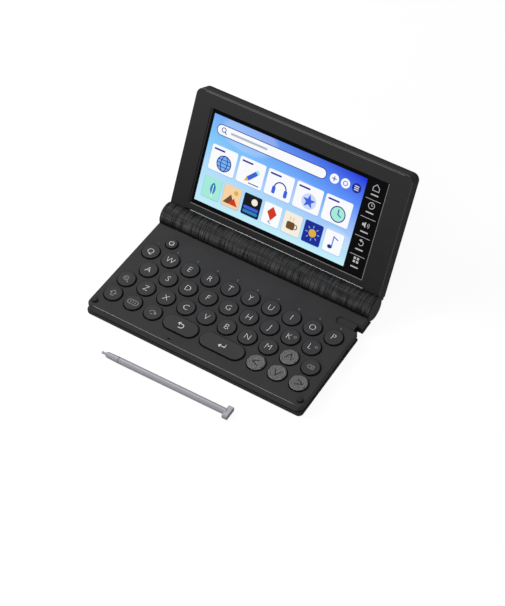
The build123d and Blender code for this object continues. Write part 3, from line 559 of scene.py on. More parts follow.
@dataclass(frozen=True)
class LitWash:
    """The screen's backdrop: a lit wash of blues, deep at the top right, with soft round bubbles."""

    name: str
    rows: tuple[tuple[float, str, str], ...]    # share of the height, colour at its left and at its right
    bubbles: tuple[Spot, ...]                   # middle across and up, and radius, as shares of the picture

    def build(self) -> bpy.types.Material:
        """Makes the material.

        Returns:
            The material.
        """
        material, tree = new_material(self.name)
        plan = add_node(tree, "ShaderNodeUVMap", uv_map=PLAN).outputs[0]
        across, up = add_node(tree, "ShaderNodeSeparateXYZ", {0: plan}).outputs[:2]
        heights = [height for height, _, _ in self.rows]
        bands = [coated(tree, linear(left), Coat(linear(right), across, bare=0.0, full=1.0))
                 for _, left, right in self.rows]
        tone = coated(tree, bands[0], *(Coat(band, up, below, height)
                                        for band, below, height in zip(bands[1:], heights, heights[1:])))
        for x, y, radius in self.bubbles:
            gap = add_node(tree, "ShaderNodeVectorMath", {0: plan, 1: (x, y, 0)},
                           operation="DISTANCE").outputs["Value"]
            bubble = Coat(linear("#ffffff"), gap, bare=radius, full=radius * 0.8, cover=0.16)
            tone = coated(tree, tone, bubble)
        surface(tree, {**SCREEN_FRONT, "Emission Color": tone})
        return material


# ---------------------------------------------------------------- flat drawing
CORNER_STEPS = 6                # straight pieces in a panel's round corner
ARC_STEP_DEG = 15               # angle that one straight piece of an arc takes
FEWEST_ARC_STEPS = 6
NEARLY_NOTHING = 1e-6
BLUNTEST_MITRE = 0.35           # least cosine to which a line's corner is mitred; past it, it is cut short


@dataclass
class Shape:
    """One flat closed outline, the ink that fills it and the layer that it lies on."""

    outline: list[Point]
    ink: Enum
    layer: int


@dataclass
class Drawing:
    """Flat artwork in millimetres, which becomes one mesh of thin layers."""

    shapes: list[Shape] = field(default_factory=list)

    def fill(self, outline: Iterable[Point], ink: Enum, layer: int = 0) -> None:
        """Fills an outline, given as its corners in order."""
        self.shapes.append(Shape(list(outline), ink, layer))

    def panel(self, low: Point, high: Point, corner: float, ink: Enum, layer: int = 0) -> None:
        """Fills a rectangle with round corners.

        Args:
            low: Lower left corner.
            high: Upper right corner.
            corner: Radius of its corners.
            ink: Ink that fills it.
            layer: Layer that it lies on.
        """
        corners = ((high[0] - corner, high[1] - corner), (low[0] + corner, high[1] - corner),
                   (low[0] + corner, low[1] + corner), (high[0] - corner, low[1] + corner))
        outline = []
        for quarter, (x, y) in enumerate(corners):
            for step in range(CORNER_STEPS + 1):
                angle = (quarter + step / CORNER_STEPS) * math.pi / 2
                outline.append((x + corner * math.cos(angle), y + corner * math.sin(angle)))
        self.fill(outline, ink, layer)

    def disc(self, centre: Point, radius: float, ink: Enum, layer: int = 0, squash: float = 1.0) -> None:
        """Fills a circle, or an ellipse whose height is squash times its width."""
        self.fill(arc_points(centre, radius, 0, 360, squash)[:-1], ink, layer)

    def stroke(self, points: Sequence[Point], width: float, ink: Enum, layer: int = 0) -> None:
        """Draws a line of one width with mitred corners; it closes where its ends meet.

        Args:
            points: The line's corners.
            width: Its width.
            ink: Ink that fills it.
            layer: Layer that it lies on.
        """
        closed = math.dist(points[0], points[-1]) < NEARLY_NOTHING
        line = list(points[:-1]) if closed else list(points)
        sides = [edge_pair(line, index, width / 2, closed) for index in range(len(line))]
        for index in range(len(line) if closed else len(line) - 1):
            (left, right), (next_left, next_right) = sides[index], sides[(index + 1) % len(line)]
            self.fill((left, right, next_right, next_left), ink, layer)

    def ring(self, centre: Point, radius: float, width: float, ink: Enum, layer: int = 0,
             span: Point = (0, 360)) -> None:
        """Draws a circle's line, or the part of it between two angles in degrees."""
        self.stroke(arc_points(centre, radius, *span), width, ink, layer)


def arc_points(centre: Point, radius: float, start: float, end: float, squash: float = 1.0) -> list[Point]:
    """Points along an arc.

    Args:
        centre: Middle of the arc.
        radius: Its radius.
        start: Angle of its first point, in degrees.
        end: Angle of its last point.
        squash: Height over width.
    Returns:
        The points, from first to last.
    """
    steps = max(FEWEST_ARC_STEPS, round(abs(end - start) / ARC_STEP_DEG))
    angles = [math.radians(start + (end - start) * step / steps) for step in range(steps + 1)]
    return [(centre[0] + radius * math.cos(a), centre[1] + radius * squash * math.sin(a)) for a in angles]


def edge_pair(line: Sequence[Point], index: int, half: float, closed: bool) -> tuple[Point, Point]:
    """The two edge points of a mitred line beside one of its corners.

    Args:
        line: The line's corners.
        index: Which corner.
        half: Half the line's width.
        closed: Whether the line's ends meet.
    Returns:
        The left and the right point.
    """
    here = Vector(line[index])
    before = Vector(line[index - 1]) if index or closed else None
    after = Vector(line[(index + 1) % len(line)]) if index + 1 < len(line) or closed else None
    ahead = (after - here).normalized() if after is not None else (here - before).normalized()
    behind = (here - before).normalized() if before is not None else ahead
    middle = (ahead + behind).normalized() if (ahead + behind).length > NEARLY_NOTHING else ahead
    normal = Vector((-middle.y, middle.x))
    reach = half / max(BLUNTEST_MITRE, normal.dot(Vector((-ahead.y, ahead.x))))
    return tuple(here + normal * reach), tuple(here - normal * reach)


def prism(mesh: bmesh.types.BMesh, outline: Sequence[Point], low: float, high: float, slot: int) -> None:
    """Adds an upright solid over a flat outline.

    Args:
        mesh: Mesh that takes it.
        outline: Corners of its plan.
        low: Height of its underside.
        high: Height of its top.
        slot: Material slot of its faces.
    """
    turn = sum(a[0] * b[1] - b[0] * a[1] for a, b in zip(outline, [*outline[1:], outline[0]]))
    ordered = list(outline) if turn > 0 else list(outline)[::-1]
    bottom = [mesh.verts.new((x, y, low)) for x, y in ordered]
    top = [mesh.verts.new((x, y, high)) for x, y in ordered]
    count = len(ordered)
    faces = [mesh.faces.new(top), mesh.faces.new(bottom[::-1])]
    for i in range(count):
        j = (i + 1) % count
        faces.append(mesh.faces.new((bottom[i], bottom[j], top[j], top[i])))
    for face in faces:
        face.material_index = slot


def add_piece(name: str, mesh: bpy.types.Mesh, body: str) -> None:
    """Puts a finished mesh in the scene and lets it ride on a body.

    Args:
        name: Name of the piece.
        mesh: Its mesh, in place and in metres.
        body: Body that it rides on.
    """
    mesh.name = name
    piece = bpy.data.objects.new(name, mesh)
    bpy.context.scene.collection.objects.link(piece)
    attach(piece, body)
    log.info("%s: %d faces on %s", name, len(mesh.polygons), body)


def place_mesh(mesh: bpy.types.Mesh, place: Matrix) -> None:
    """Moves a mesh in millimetres to its place in metres."""
    mesh.transform(Matrix.Scale(MM, 4) @ place)


def drawing_mesh(drawing: Drawing, paints: dict[Enum, bpy.types.Material], layer_mm: float, place: Matrix,
                 window: tuple[Point, Point] | None = None) -> bpy.types.Mesh:
    """Turns a drawing into one mesh of thin solids.

    Args:
        drawing: The artwork.
        paints: Material of each ink.
        layer_mm: Thickness of a layer.
        place: Where the drawing's plane lies.
        window: Lower left and upper right corner of what the UV map spans; without it there is no map.
    Returns:
        The placed mesh.
    """
    inks = list(dict.fromkeys(shape.ink for shape in drawing.shapes))
    solid = bmesh.new()
    for shape in drawing.shapes:
        low = shape.layer * layer_mm
        prism(solid, shape.outline, low, low + layer_mm, inks.index(shape.ink))
    if window:
        (left, bottom), (right, top) = window
        layer = solid.loops.layers.uv.new(PLAN)
        for loop in (corner for face in solid.faces for corner in face.loops):
            x, y, _ = loop.vert.co
            loop[layer].uv = ((x - left) / (right - left), (y - bottom) / (top - bottom))
    mesh = bpy.data.meshes.new("drawing")
    solid.to_mesh(mesh)
    solid.free()
    for ink in inks:
        mesh.materials.append(paints[ink])
    place_mesh(mesh, place)
    return mesh


# ---------------------------------------------------------------- lettering
@dataclass
class Lettering:
    """Plain upright letters and digits of one height."""

    cap_mm: float
    layer_mm: float = 0.03
    weight: float = 0.0         # how far each stroke is swollen, in millimetres
    curve_steps: int = 4
    seam: float = 1e-5          # distance within which points are one, in the font's units

    def mesh(self, text: str, paint: bpy.types.Material, place: Matrix) -> bpy.types.Mesh:
        """Makes one word a placed mesh, centred on the place.

        Args:
            text: What it says.
            paint: Its ink.
            place: Where its middle lies, in millimetres.
        Returns:
            The placed mesh.
        """
        scale = self.cap_mm / self.height("H", 1.0)
        made = self.raw(text, scale, self.weight, self.layer_mm / 2)
        xs = [v.co.x for v in made.vertices]
        made.transform(Matrix.Translation((-(min(xs) + max(xs)) / 2, -self.cap_mm / 2, self.layer_mm / 2)))
        made.materials.clear()
        made.materials.append(paint)
        place_mesh(made, place)
        return made

    def height(self, text: str, size: float) -> float:
        """Height of a word at a font size.

        Args:
            text: The word.
            size: Font size.
        Returns:
            The height, in the font's units.
        """
        made = self.raw(text, size, 0.0, 0.0)
        ys = [v.co.y for v in made.vertices]
        bpy.data.meshes.remove(made)
        return max(ys) - min(ys)

    def raw(self, text: str, size: float, weight: float, half_depth: float) -> bpy.types.Mesh:
        """Makes a word a mesh at the font's own origin.

        Args:
            text: What it says.
            size: Font size.
            weight: Swelling of each stroke.
            half_depth: Half its thickness.
        Returns:
            The mesh, in the font's units.
        """
        curve = bpy.data.curves.new("word", "FONT")
        curve.body, curve.size, curve.offset, curve.extrude = text, size, weight, half_depth
        curve.resolution_u = self.curve_steps
        word = bpy.data.objects.new("word", curve)
        bpy.context.scene.collection.objects.link(word)
        shown = word.evaluated_get(bpy.context.evaluated_depsgraph_get())
        mesh = bpy.data.meshes.new_from_object(shown)
        bpy.data.objects.remove(word)
        bpy.data.curves.remove(curve)
        solid = bmesh.new()
        solid.from_mesh(mesh)
        bmesh.ops.remove_doubles(solid, verts=solid.verts, dist=self.seam)
        bmesh.ops.recalc_face_normals(solid, faces=solid.faces)
        solid.to_mesh(mesh)
        solid.free()
        return mesh


def joined(meshes: Iterable[bpy.types.Mesh]) -> bpy.types.Mesh:
    """Joins meshes that share one material into one.

    Args:
        meshes: The meshes; they are used up.
    Returns:
        The new mesh.
    """
    parts = list(meshes)
    solid = bmesh.new()
    for part in parts:
        solid.from_mesh(part)
    whole = bpy.data.meshes.new("joined")
    solid.to_mesh(whole)
    solid.free()
    whole.materials.append(parts[0].materials[0])
    for part in parts:
        bpy.data.meshes.remove(part)
    return whole


# ---------------------------------------------------------------- places on the object
def middle_top(node: str) -> Spot:
    """Middle of a node's box in plan and the height of its top, in millimetres."""
    low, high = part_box(node)
    return (low[0] + high[0]) / 2 / MM, (low[1] + high[1]) / 2 / MM, high[2] / MM


def hinge() -> Spot:
    """Finds the lid's hinge and how far back the lid leans.

    Returns:
        Y and z of the hinge's axis in millimetres, and the lid's tilt in degrees.
    """
    joint = next(j for j in frame["record"]["behaviour"]["joints"] if j["name"] == "lid_hinge")
    _, y, z = joint["pos_m"]
    return y / MM, z / MM, 180 + joint["range_deg"][0]


HINGE_Y, HINGE_Z, LID_TILT = hinge()
BARREL_RADIUS_MM = 8.3
BEZEL_FACE_MM = -1.3            # height of the bezel's face in the lid's own frame
GLASS_FACE_MM = -1.5            # and of the glass's


def on_lid(height: float) -> Matrix:
    """The plane of the lid's own frame at a height over it, swung into place."""
    upright = Matrix.Translation((0, HINGE_Y, HINGE_Z)) @ Matrix.Rotation(math.radians(LID_TILT), 4, "X")
    return upright @ Matrix.Translation((0, 0, height))


# ---------------------------------------------------------------- finishes of this object
class Ink(Enum):
    """Inks printed on keys and deck."""

    LETTER = "#ececec"      # letters on the keys
    SIGN = "#888888"        # signs on the function keys
    MARK = "#777777"        # small marks on the deck
    CHEVRON = "#1e1e1e"     # on the arrow keys


class Pixel(Enum):
    """Colours of the screen's picture."""

    WHITE = "#fbfcff"
    NAVY = "#1d2c94"
    BLUE = "#3d62dd"
    SKY = "#79b4f2"
    PALE = "#cddcf8"
    PEACH = "#f9d3a4"
    MINT = "#a6ecd9"
    RED = "#cf3a1f"
    BLACK = "#15181d"
    TEAL = "#2b83bd"
    GOLD = "#dfb040"
    CREAM = "#f7efe0"
    BROWN = "#6d4c2c"
    GREY = "#b4bbc6"
    WASH = "#8cc8f8"        # the backdrop, which gets a finish of its own
    STRIP = "#040405"
    ICON = "#b9b9b9"


CAP_WALL = "#070707"            # walls of keys and pads, which stand in their own shade
# ways faced by painted highlights: the deck's front edge, and the lid's top and side edges
FRONT_EDGE: Direction = (0, -0.56, 0.83)
LID_TOP_EDGE: Direction = (0, -0.26, 0.97)
LID_SIDE_EDGE: Direction = (0.71, -0.61, 0.35)
LID_BACK_WAY: Direction = (0, 0.87, -0.5)

# a painted highlight along the deck's front top edge
DECK_ABS = MouldedPlastic("deck black ABS", "#363637", painted_highlight="#8e8e8e", painted_highlight_ways=(FRONT_EDGE,),
                          painted_highlight_half_mm=72.5)
# painted shade of the groove under the deck, from 3.5 mm up
CASE_ABS = MouldedPlastic("bottom case black ABS", "#343435", specular=0.05, groove_shade_mm=3.5)
# a painted highlight along its top and side edges, and painted light that grows up the lid
LID_ABS = MouldedPlastic("lid black ABS", "#212122", painted_highlight="#666666",
                         painted_highlight_ways=(LID_TOP_EDGE, LID_SIDE_EDGE), painted_light_mm=(20.0, 85.0))
# its sides painted darker than its back face, as shade
LID_BACK_ABS = MouldedPlastic("lid back black ABS", "#313132", wall_shade="#1c1c1d", face_way=LID_BACK_WAY)
# its walls painted nearly black, as shade
KEY_ABS = MouldedPlastic("key cap black ABS", "#3a3a3b", roughness=0.7, grain_mm=0.4, wall_shade=CAP_WALL)
# a painted highlight along its top
STYLUS_ABS = MouldedPlastic("stylus grey ABS", "#909096", roughness=0.5, specular=0.2, grain_mm=0.4,
                            grain_depth_mm=0.008, mottle_mm=30.0, mottle=0.03, painted_highlight="#acacb2",
                            painted_highlight_ways=(UPWARDS,))
SPEAKER_ABS = MouldedPlastic("speaker black ABS", "#1c1c1c", roughness=0.35)
BARREL_SLEEVE = CrossBrushedPlastic("hinge barrel cross-brushed ABS", "#0c0c0d", "#545455",
                                    centre=(HINGE_Y * MM, HINGE_Z * MM), radius_mm=BARREL_RADIUS_MM)
PAD_RUBBER = MouldedRubber("black rubber", "#101011")
# its walls painted nearly black, as shade
PAD_TOP = MouldedPlastic("stop pad rubber", "#303031", roughness=0.8, wall_shade=CAP_WALL)
DOME_RUBBER = MouldedRubber("grey silicone rubber", "#8a8a8a")
CONTACT_STEEL = PlainMetal("nickel-plated spring steel", "#c8c6c0", roughness=0.3)
SOCKET_STEEL = PlainMetal("blackened socket steel", "#3a3a3c", roughness=0.5)
SCREW_STEEL = PlainMetal("blackened screw steel", "#2a2a2c", roughness=0.4)
BOARD_MASK = SolderMask("green solder mask", "#0d4a2a", track="#2e7a4c")
CELL_SLEEVE = MouldedPlastic("printed cell sleeve", "#4a4d58", roughness=0.3, specular=0.5, grain_mm=0.8,
                             grain_depth_mm=0.004)
COVER_GLASS = CoatedGlass("black-printed cover glass", "#030304")
DISPLAY_TRAY = PlainMetal("display tray steel", "#a6a8aa", roughness=0.3)


class Trim(Enum):
    """Thin strips of painted highlight along edges and of painted shade in gaps, each with its finish."""

    # painted highlight along the lid's chin
    CHIN_HIGHLIGHT = MouldedPlastic("painted chin highlight", "#c4c4c4", roughness=0.35, specular=0.5, grain_mm=0.6,
                          grain_depth_mm=0.002, mottle_mm=25.0, mottle=0.15)
    # painted highlight along the glass's lower and right edges
    GLASS_EDGE_HIGHLIGHT = replace(CHIN_HIGHLIGHT, name="painted glass edge highlight", colour="#6e6a6a")
    # painted highlight along the lid's top edge
    BROW_HIGHLIGHT = replace(CHIN_HIGHLIGHT, name="painted brow highlight", colour="#6e6e6e", roughness=0.5, specular=0.2)
    # painted shade, laid where gaps lie in shade
    GAP = MouldedPlastic("painted gap shade", "#060606", roughness=0.8, specular=0.03)


NODE_FINISH = {
    "bottom_case": CASE_ABS, "key_deck": DECK_ABS, "stylus_silo": CASE_ABS, "stylus": STYLUS_ABS,
    "battery_barrel": BARREL_SLEEVE, "battery_cover": BARREL_SLEEVE, "hinge_knuckles": BARREL_SLEEVE,
    "lid_back_cover": LID_BACK_ABS, "lid_bezel": LID_ABS, "touch_glass": COVER_GLASS,
    "lcd_module": DISPLAY_TRAY, "main_board": BOARD_MASK, "key_rubber_sheet": DOME_RUBBER,
    "speaker": SPEAKER_ABS, "data_port": SOCKET_STEEL, "battery_cells": CELL_SLEEVE,
    "battery_contacts": CONTACT_STEEL, "hinge_housings": CONTACT_STEEL, "hinge_shafts": CONTACT_STEEL,
    "case_screws": SCREW_STEEL, "rubber_feet": PAD_RUBBER, "stop_pads": PAD_TOP,
}
ARROW_KEYS = {"key_left": 180, "key_up": 90, "key_down": 270, "key_right": 0}   # and which way each points


def dress_nodes() -> None:
    """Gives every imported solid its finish."""
    built = {finish: finish.build() for finish in dict.fromkeys([*NODE_FINISH.values(), KEY_ABS])}
    for name, node in frame["nodes"].items():
        if name in ARROW_KEYS:
            centre = tuple(part * MM for part in middle_top(name))
            # the arrow keys' walls painted nearly black, as shade
            paint = SpunLacquer(f"{name} spun lacquer", dark="#2c2c2c", light="#848484", wall_shade=CAP_WALL,
                                centre=centre).build()
        else:
            paint = built[NODE_FINISH.get(name, KEY_ABS)]
        if not node.material_slots:
            node.data.materials.append(None)
        for slot in node.material_slots:
            slot.material = paint
        log.info("%s: %s", name, paint.name)


# ---------------------------------------------------------------- keyboard
@dataclass
class KeyLegends:
    """White letters and grey signs on the key caps, each riding on its own key."""

    cap_mm: float = 4.0
    letter_weight: float = -0.145
    layer_mm: float = 0.03
    line_mm: float = 0.4
    chevron_mm: float = 0.7
    marked: str = "kl"                  # letters that share their cap with a small ring
    marked_shift: Point = (-0.9, 0.0)   # how far they move aside for it
    ring_at: Point = (2.6, 1.0)
    ring_mm: Point = (0.8, 0.3)         # its radius and line

    def build(self) -> None:
        """Makes the legend of every key."""
        paints = {ink: PadPrint(f"{ink.name.lower()} ink", ink.value).build() for ink in Ink}
        letters = Lettering(self.cap_mm, self.layer_mm, self.letter_weight)
        for letter in ascii_lowercase:
            shift = self.marked_shift if letter in self.marked else (0, 0)
            mesh = letters.mesh(letter.upper(), paints[Ink.LETTER], self.on_top(f"key_{letter}", shift))
            add_piece(f"legend_{letter}", mesh, f"key_{letter}")
        for letter in self.marked:
            mark = Drawing()
            mark.ring((0, 0), *self.ring_mm, Ink.SIGN)
            mesh = drawing_mesh(mark, paints, self.layer_mm, self.on_top(f"key_{letter}", self.ring_at))
            add_piece(f"mark_{letter}", mesh, f"key_{letter}")
        for key, sign in self.signs().items():
            mesh = drawing_mesh(sign, paints, self.layer_mm, self.on_top(key))
            add_piece(f"sign_{key.removeprefix('key_')}", mesh, key)

    def on_top(self, key: str, shift: Point = (0, 0)) -> Matrix:
        """Place on a key's top, off its middle by a shift."""
        x, y, z = middle_top(key)
        return Matrix.Translation((x + shift[0], y + shift[1], z))

    def signs(self) -> dict[str, Drawing]:
        """Draws the sign of each function key.

        Returns:
            Drawing by node name.
        """
        drawers: dict[str, Callable[[Drawing], None]] = {
            "key_text_size": self.lens, "key_shift": self.raised_arrow, "key_symbol": self.dots,
            "key_jump": self.leap, "key_back": self.back_arrow, "key_enter": self.return_arrow,
            "key_delete": self.crossed_tag, "key_power": self.power,
        }
        made = {}
        for key, draw in drawers.items():
            made[key] = Drawing()
            draw(made[key])
        for key, turn in ARROW_KEYS.items():
            made[key] = Drawing()
            self.chevron(made[key], math.radians(turn))
        return made

    def lens(self, sign: Drawing) -> None:
        """A magnifying lens with a cross in it.

        Args:
            sign: Drawing that takes it.
        """
        sign.ring((-0.5, 0.4), 1.6, self.line_mm, Ink.SIGN)
        sign.stroke([(0.75, -0.85), (2.1, -2.2)], self.line_mm * 1.3, Ink.SIGN)
        sign.stroke([(-1.2, 0.4), (0.2, 0.4)], self.line_mm, Ink.SIGN)
        sign.stroke([(-0.5, -0.3), (-0.5, 1.1)], self.line_mm, Ink.SIGN)

    def raised_arrow(self, sign: Drawing) -> None:
        """A hollow arrow pointing up.

        Args:
            sign: Drawing that takes it.
        """
        sign.stroke([(0, 2.2), (2.1, 0.1), (0.9, 0.1), (0.9, -2.0), (-0.9, -2.0), (-0.9, 0.1), (-2.1, 0.1),
                     (0, 2.2)], self.line_mm, Ink.SIGN)

    def dots(self, sign: Drawing) -> None:
        """Three dots in a pill.

        Args:
            sign: Drawing that takes it.
        """
        for x in (-1.7, 0.0, 1.7):
            sign.disc((x, 0), 0.42, Ink.SIGN)
        loop = arc_points((2.0, 0), 1.6, -90, 90) + arc_points((-2.0, 0), 1.6, 90, 270)
        sign.stroke([*loop, loop[0]], self.line_mm, Ink.SIGN)

    def leap(self, sign: Drawing) -> None:
        """An arrow that leaps over a bar.

        Args:
            sign: Drawing that takes it.
        """
        sign.ring((0, -0.9), 2.0, self.line_mm, Ink.SIGN, span=(20, 180))
        sign.fill([(0.8, 0.1), (2.9, 0.1), (1.85, -1.5)], Ink.SIGN)
        sign.stroke([(-1.0, -1.7), (0.8, -1.7)], self.line_mm, Ink.SIGN)

    def back_arrow(self, sign: Drawing) -> None:
        """An arrow that turns back to the left.

        Args:
            sign: Drawing that takes it.
        """
        sign.ring((0.6, -0.3), 1.5, self.line_mm, Ink.LETTER, span=(-90, 90))
        sign.stroke([(0.6, 1.2), (-2.0, 1.2)], self.line_mm, Ink.LETTER)
        sign.stroke([(0.6, -1.8), (-0.9, -1.8)], self.line_mm, Ink.LETTER)
        sign.stroke([(-1.0, 2.3), (-2.2, 1.2), (-1.0, 0.1)], self.line_mm, Ink.LETTER)

    def return_arrow(self, sign: Drawing) -> None:
        """The line-feed arrow.

        Args:
            sign: Drawing that takes it.
        """
        sign.stroke([(2.1, 1.7), (2.1, -0.6), (-1.9, -0.6)], self.line_mm, Ink.LETTER)
        sign.stroke([(-0.8, 0.5), (-2.1, -0.6), (-0.8, -1.7)], self.line_mm, Ink.LETTER)

    def crossed_tag(self, sign: Drawing) -> None:
        """A tag with a cross in it.

        Args:
            sign: Drawing that takes it.
        """
        sign.stroke([(-2.3, 0), (-1.1, 1.2), (2.0, 1.2), (2.0, -1.2), (-1.1, -1.2), (-2.3, 0)], self.line_mm,
                    Ink.SIGN)
        for side in (-1, 1):
            sign.stroke([(-0.1, -0.55 * side), (1.1, 0.55 * side)], self.line_mm, Ink.SIGN)

    def power(self, sign: Drawing) -> None:
        """A broken ring with a bar.

        Args:
            sign: Drawing that takes it.
        """
        sign.ring((0, 0), 1.5, self.line_mm * 0.8, Ink.LETTER, span=(110, 430))
        sign.stroke([(0, 1.0), (0, 2.0)], self.line_mm * 0.8, Ink.LETTER)

    def chevron(self, sign: Drawing, turn: float) -> None:
        """An open arrow head, turned to its direction in radians.

        Args:
            sign: Drawing that takes it.
            turn: Its direction, in radians.
        """
        corners = [(-1.8, 2.1), (2.5, 0.0), (-1.8, -2.1)]
        turned = [(x * math.cos(turn) - y * math.sin(turn), x * math.sin(turn) + y * math.cos(turn))
                  for x, y in corners]
        sign.stroke(turned, self.chevron_mm, Ink.CHEVRON)


@dataclass
class DeckMarks:
    """Small grey digits over the top row of keys."""

    cap_mm: float = 1.5
    layer_mm: float = 0.02
    above_key_mm: float = 8.3
    row: str = "qwertyuiop"
    digits: str = "1234567890"

    def build(self) -> None:
        """Makes the digits one piece on the base."""
        paint = PadPrint("deck mark ink", Ink.MARK.value).build()
        lettering = Lettering(self.cap_mm, self.layer_mm)
        deck_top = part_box("key_deck")[1][2] / MM
        meshes = []
        for letter, digit in zip(self.row, self.digits):
            x, y, _ = middle_top(f"key_{letter}")
            place = Matrix.Translation((x, y + self.above_key_mm, deck_top))
            meshes.append(lettering.mesh(digit, paint, place))
        add_piece("deck_digits", joined(meshes), "base")


@dataclass
class KeyWellShade:
    """Painted shade round the deck's key holes: a black line that frames each cap where the gap lies in
    shade.
    """

    gap_mm: float = 0.05        # from a key's flange to the middle of the line, inwards
    line_mm: float = 0.36
    layer_mm: float = 0.02

    def build(self) -> None:
        """Makes the lines one piece on the base."""
        lines = Drawing()
        for name in frame["nodes"]:
            if name.startswith("key_") and name not in ("key_deck", "key_rubber_sheet"):
                low, high = (tuple(c / MM for c in corner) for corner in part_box(name))
                radius = (high[1] - low[1]) / 2 - self.gap_mm
                y = (low[1] + high[1]) / 2
                ends = (high[0] - radius - self.gap_mm, y), (low[0] + radius + self.gap_mm, y)
                loop = arc_points(ends[0], radius, -90, 90) + arc_points(ends[1], radius, 90, 270)
                # painted shade: a black line round each cap
                lines.stroke([*loop, loop[0]], self.line_mm, Trim.GAP)
        paints = {Trim.GAP: Trim.GAP.value.build()}
        place = Matrix.Translation((0, 0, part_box("key_deck")[1][2] / MM))
        add_piece("key_well_painted_shade", drawing_mesh(lines, paints, self.layer_mm, place), "base")


# ---------------------------------------------------------------- screen
@dataclass(frozen=True)
class PlateRow:
    """A row of equal plates on the screen, each over its own shadow."""

    low: Point              # lower left corner of the first plate
    size: Point
    gap: float
    corner: float
    drop: float             # how far the shadow shows below a plate
    side: float = 0.2       # how far it shows beside it


@dataclass
class ScreenPicture:
    """What the screen shows: a start page with a search field, a row of cards and a row of tiles."""

    low: Point = (-60.4, 16.45)
    high: Point = (48.2, 74.55)
    layer_mm: float = 0.03
    field_low: Point = (-56.6, 62.6)
    field_high: Point = (22.0, 69.8)
    field_border: float = 0.5
    buttons_x: Spot = (27.5, 35.2, 42.9)
    buttons_y: float = 66.2
    button_radius: float = 3.1
    cards: PlateRow = PlateRow((-56.6, 39.4), (18.6, 16.6), 1.9, corner=1.2, drop=0.35)
    card_label: tuple[Point, Point] = ((-7.7, 5.3), (0.2, 6.4))     # from the card's middle
    card_sign: Point = (1.116, -1.7)                                # from the card's middle
    tiles: PlateRow = PlateRow((-56.6, 20.9), (12.6, 14.0), 2.07, corner=1.0, drop=0.3)
    strip_right: float = 62.0
    strip_low: float = 13.9
    strip_high: float = 76.8
    strip_rules: tuple[float, ...] = (63.4, 51.5, 38.95, 26.7)      # heights of the lines between buttons
    strip_icons: tuple[float, ...] = (71.2, 59.7, 46.9, 35.2, 23.6)
    strip_middle: float = 55.1
    wash: LitWash = LitWash(
        "lit blue wash",
        rows=((0.0, "#c0ecf7", "#c4f0fa"), (0.46, "#b2ddfb", "#94b8f8"), (0.68, "#86cefa", "#5a8cfb"),
              (1.0, "#78b0f7", "#1a2ada")),
        bubbles=((0.25, 0.9, 0.2), (0.62, 0.55, 0.16), (0.9, 0.25, 0.12)))
    art: Drawing = field(default_factory=Drawing)

    def build(self) -> None:
        """Draws the picture and lays it on the glass."""
        (left, low), (right, high) = self.low, self.high
        self.art.fill([(left, low), (right, low), (right, high), (left, high)], Pixel.WASH)
        self.search_field()
        self.round_buttons()
        for index, draw in enumerate((self.globe, self.pencil, self.headphones, self.star, self.clock)):
            self.card(index, draw)
        motifs = ((Pixel.MINT, self.leaf), (Pixel.PEACH, self.hills), (Pixel.BLACK, self.moon),
                  (Pixel.WHITE, self.kite), (Pixel.CREAM, self.cup), (Pixel.NAVY, self.sun),
                  (Pixel.WHITE, self.note))
        for index, (ground, draw) in enumerate(motifs):
            draw(self.plate(self.tiles, index, ground))
        self.touch_strip()
        paints = {pixel: LitPixels(f"lit {pixel.name.lower()}", pixel.value).build() for pixel in Pixel}
        paints[Pixel.WASH] = self.wash.build()
        mesh = drawing_mesh(self.art, paints, self.layer_mm, on_lid(GLASS_FACE_MM), (self.low, self.high))
        add_piece("screen_picture", mesh, "lid")

    def search_field(self) -> None:
        """Draws the search field with its lens and a grey bar where words would stand."""
        art, border = self.art, self.field_border
        (left, low), (right, high) = self.field_low, self.field_high
        art.panel((left, low), (right, high), 3.5, Pixel.NAVY, 1)
        art.panel((left + border, low + border), (right - border, high - border), 3.0, Pixel.WHITE, 2)
        art.ring((left + 5.0, low + 4.0), 1.4, 0.5, Pixel.NAVY, 3)
        art.stroke([(left + 6.0, low + 3.0), (left + 7.2, low + 1.8)], 0.6, Pixel.NAVY, 3)
        art.panel((left + 10.1, low + 2.9), (left + 36.6, low + 4.3), 0.6, Pixel.GREY, 3)

    def round_buttons(self) -> None:
        """Draws the round buttons beside the search field: a plus, a ring and a list."""
        art, y = self.art, self.buttons_y
        plus, ring, menu = self.buttons_x
        for x, ink in ((plus, Pixel.WHITE), (ring, Pixel.WHITE), (menu, Pixel.NAVY)):
            art.disc((x, y), self.button_radius, ink, 1)
        art.stroke([(plus - 1.6, y), (plus + 1.6, y)], 0.55, Pixel.NAVY, 2)
        art.stroke([(plus, y - 1.6), (plus, y + 1.6)], 0.55, Pixel.NAVY, 2)
        art.ring((ring, y), 1.4, 0.5, Pixel.BLUE, 2)
        for rise in (-1.2, 0.0, 1.2):
            art.stroke([(menu - 1.5, y + rise), (menu + 1.5, y + rise)], 0.45, Pixel.WHITE, 2)

    def plate(self, row: PlateRow, index: int, ground: Pixel) -> Point:
        """Draws one plate of a row with its shadow.

        Args:
            row: The row.
            index: Place in it.
            ground: Colour of the plate.
        Returns:
            The plate's middle.
        """
        left, low = row.low[0] + index * (row.size[0] + row.gap), row.low[1]
        right, high = left + row.size[0], low + row.size[1]
        self.art.panel((left - row.side, low - row.drop), (right + row.side, high), row.corner + 0.1,
                       Pixel.SKY, 1)
        self.art.panel((left, low), (right, high), row.corner, ground, 2)
        return (left + right) / 2, (low + high) / 2

    def card(self, index: int, draw: Callable[[Point], None]) -> None:
        """Draws one white card.

        Args:
            index: Place in the row.
            draw: Draws its sign round a middle.
        """
        x, y = self.plate(self.cards, index, Pixel.WHITE)
        low, high = ((x + dx, y + dy) for dx, dy in self.card_label)
        self.art.panel(low, high, 0.5, Pixel.NAVY, 3)
        draw((x + self.card_sign[0], y + self.card_sign[1]))

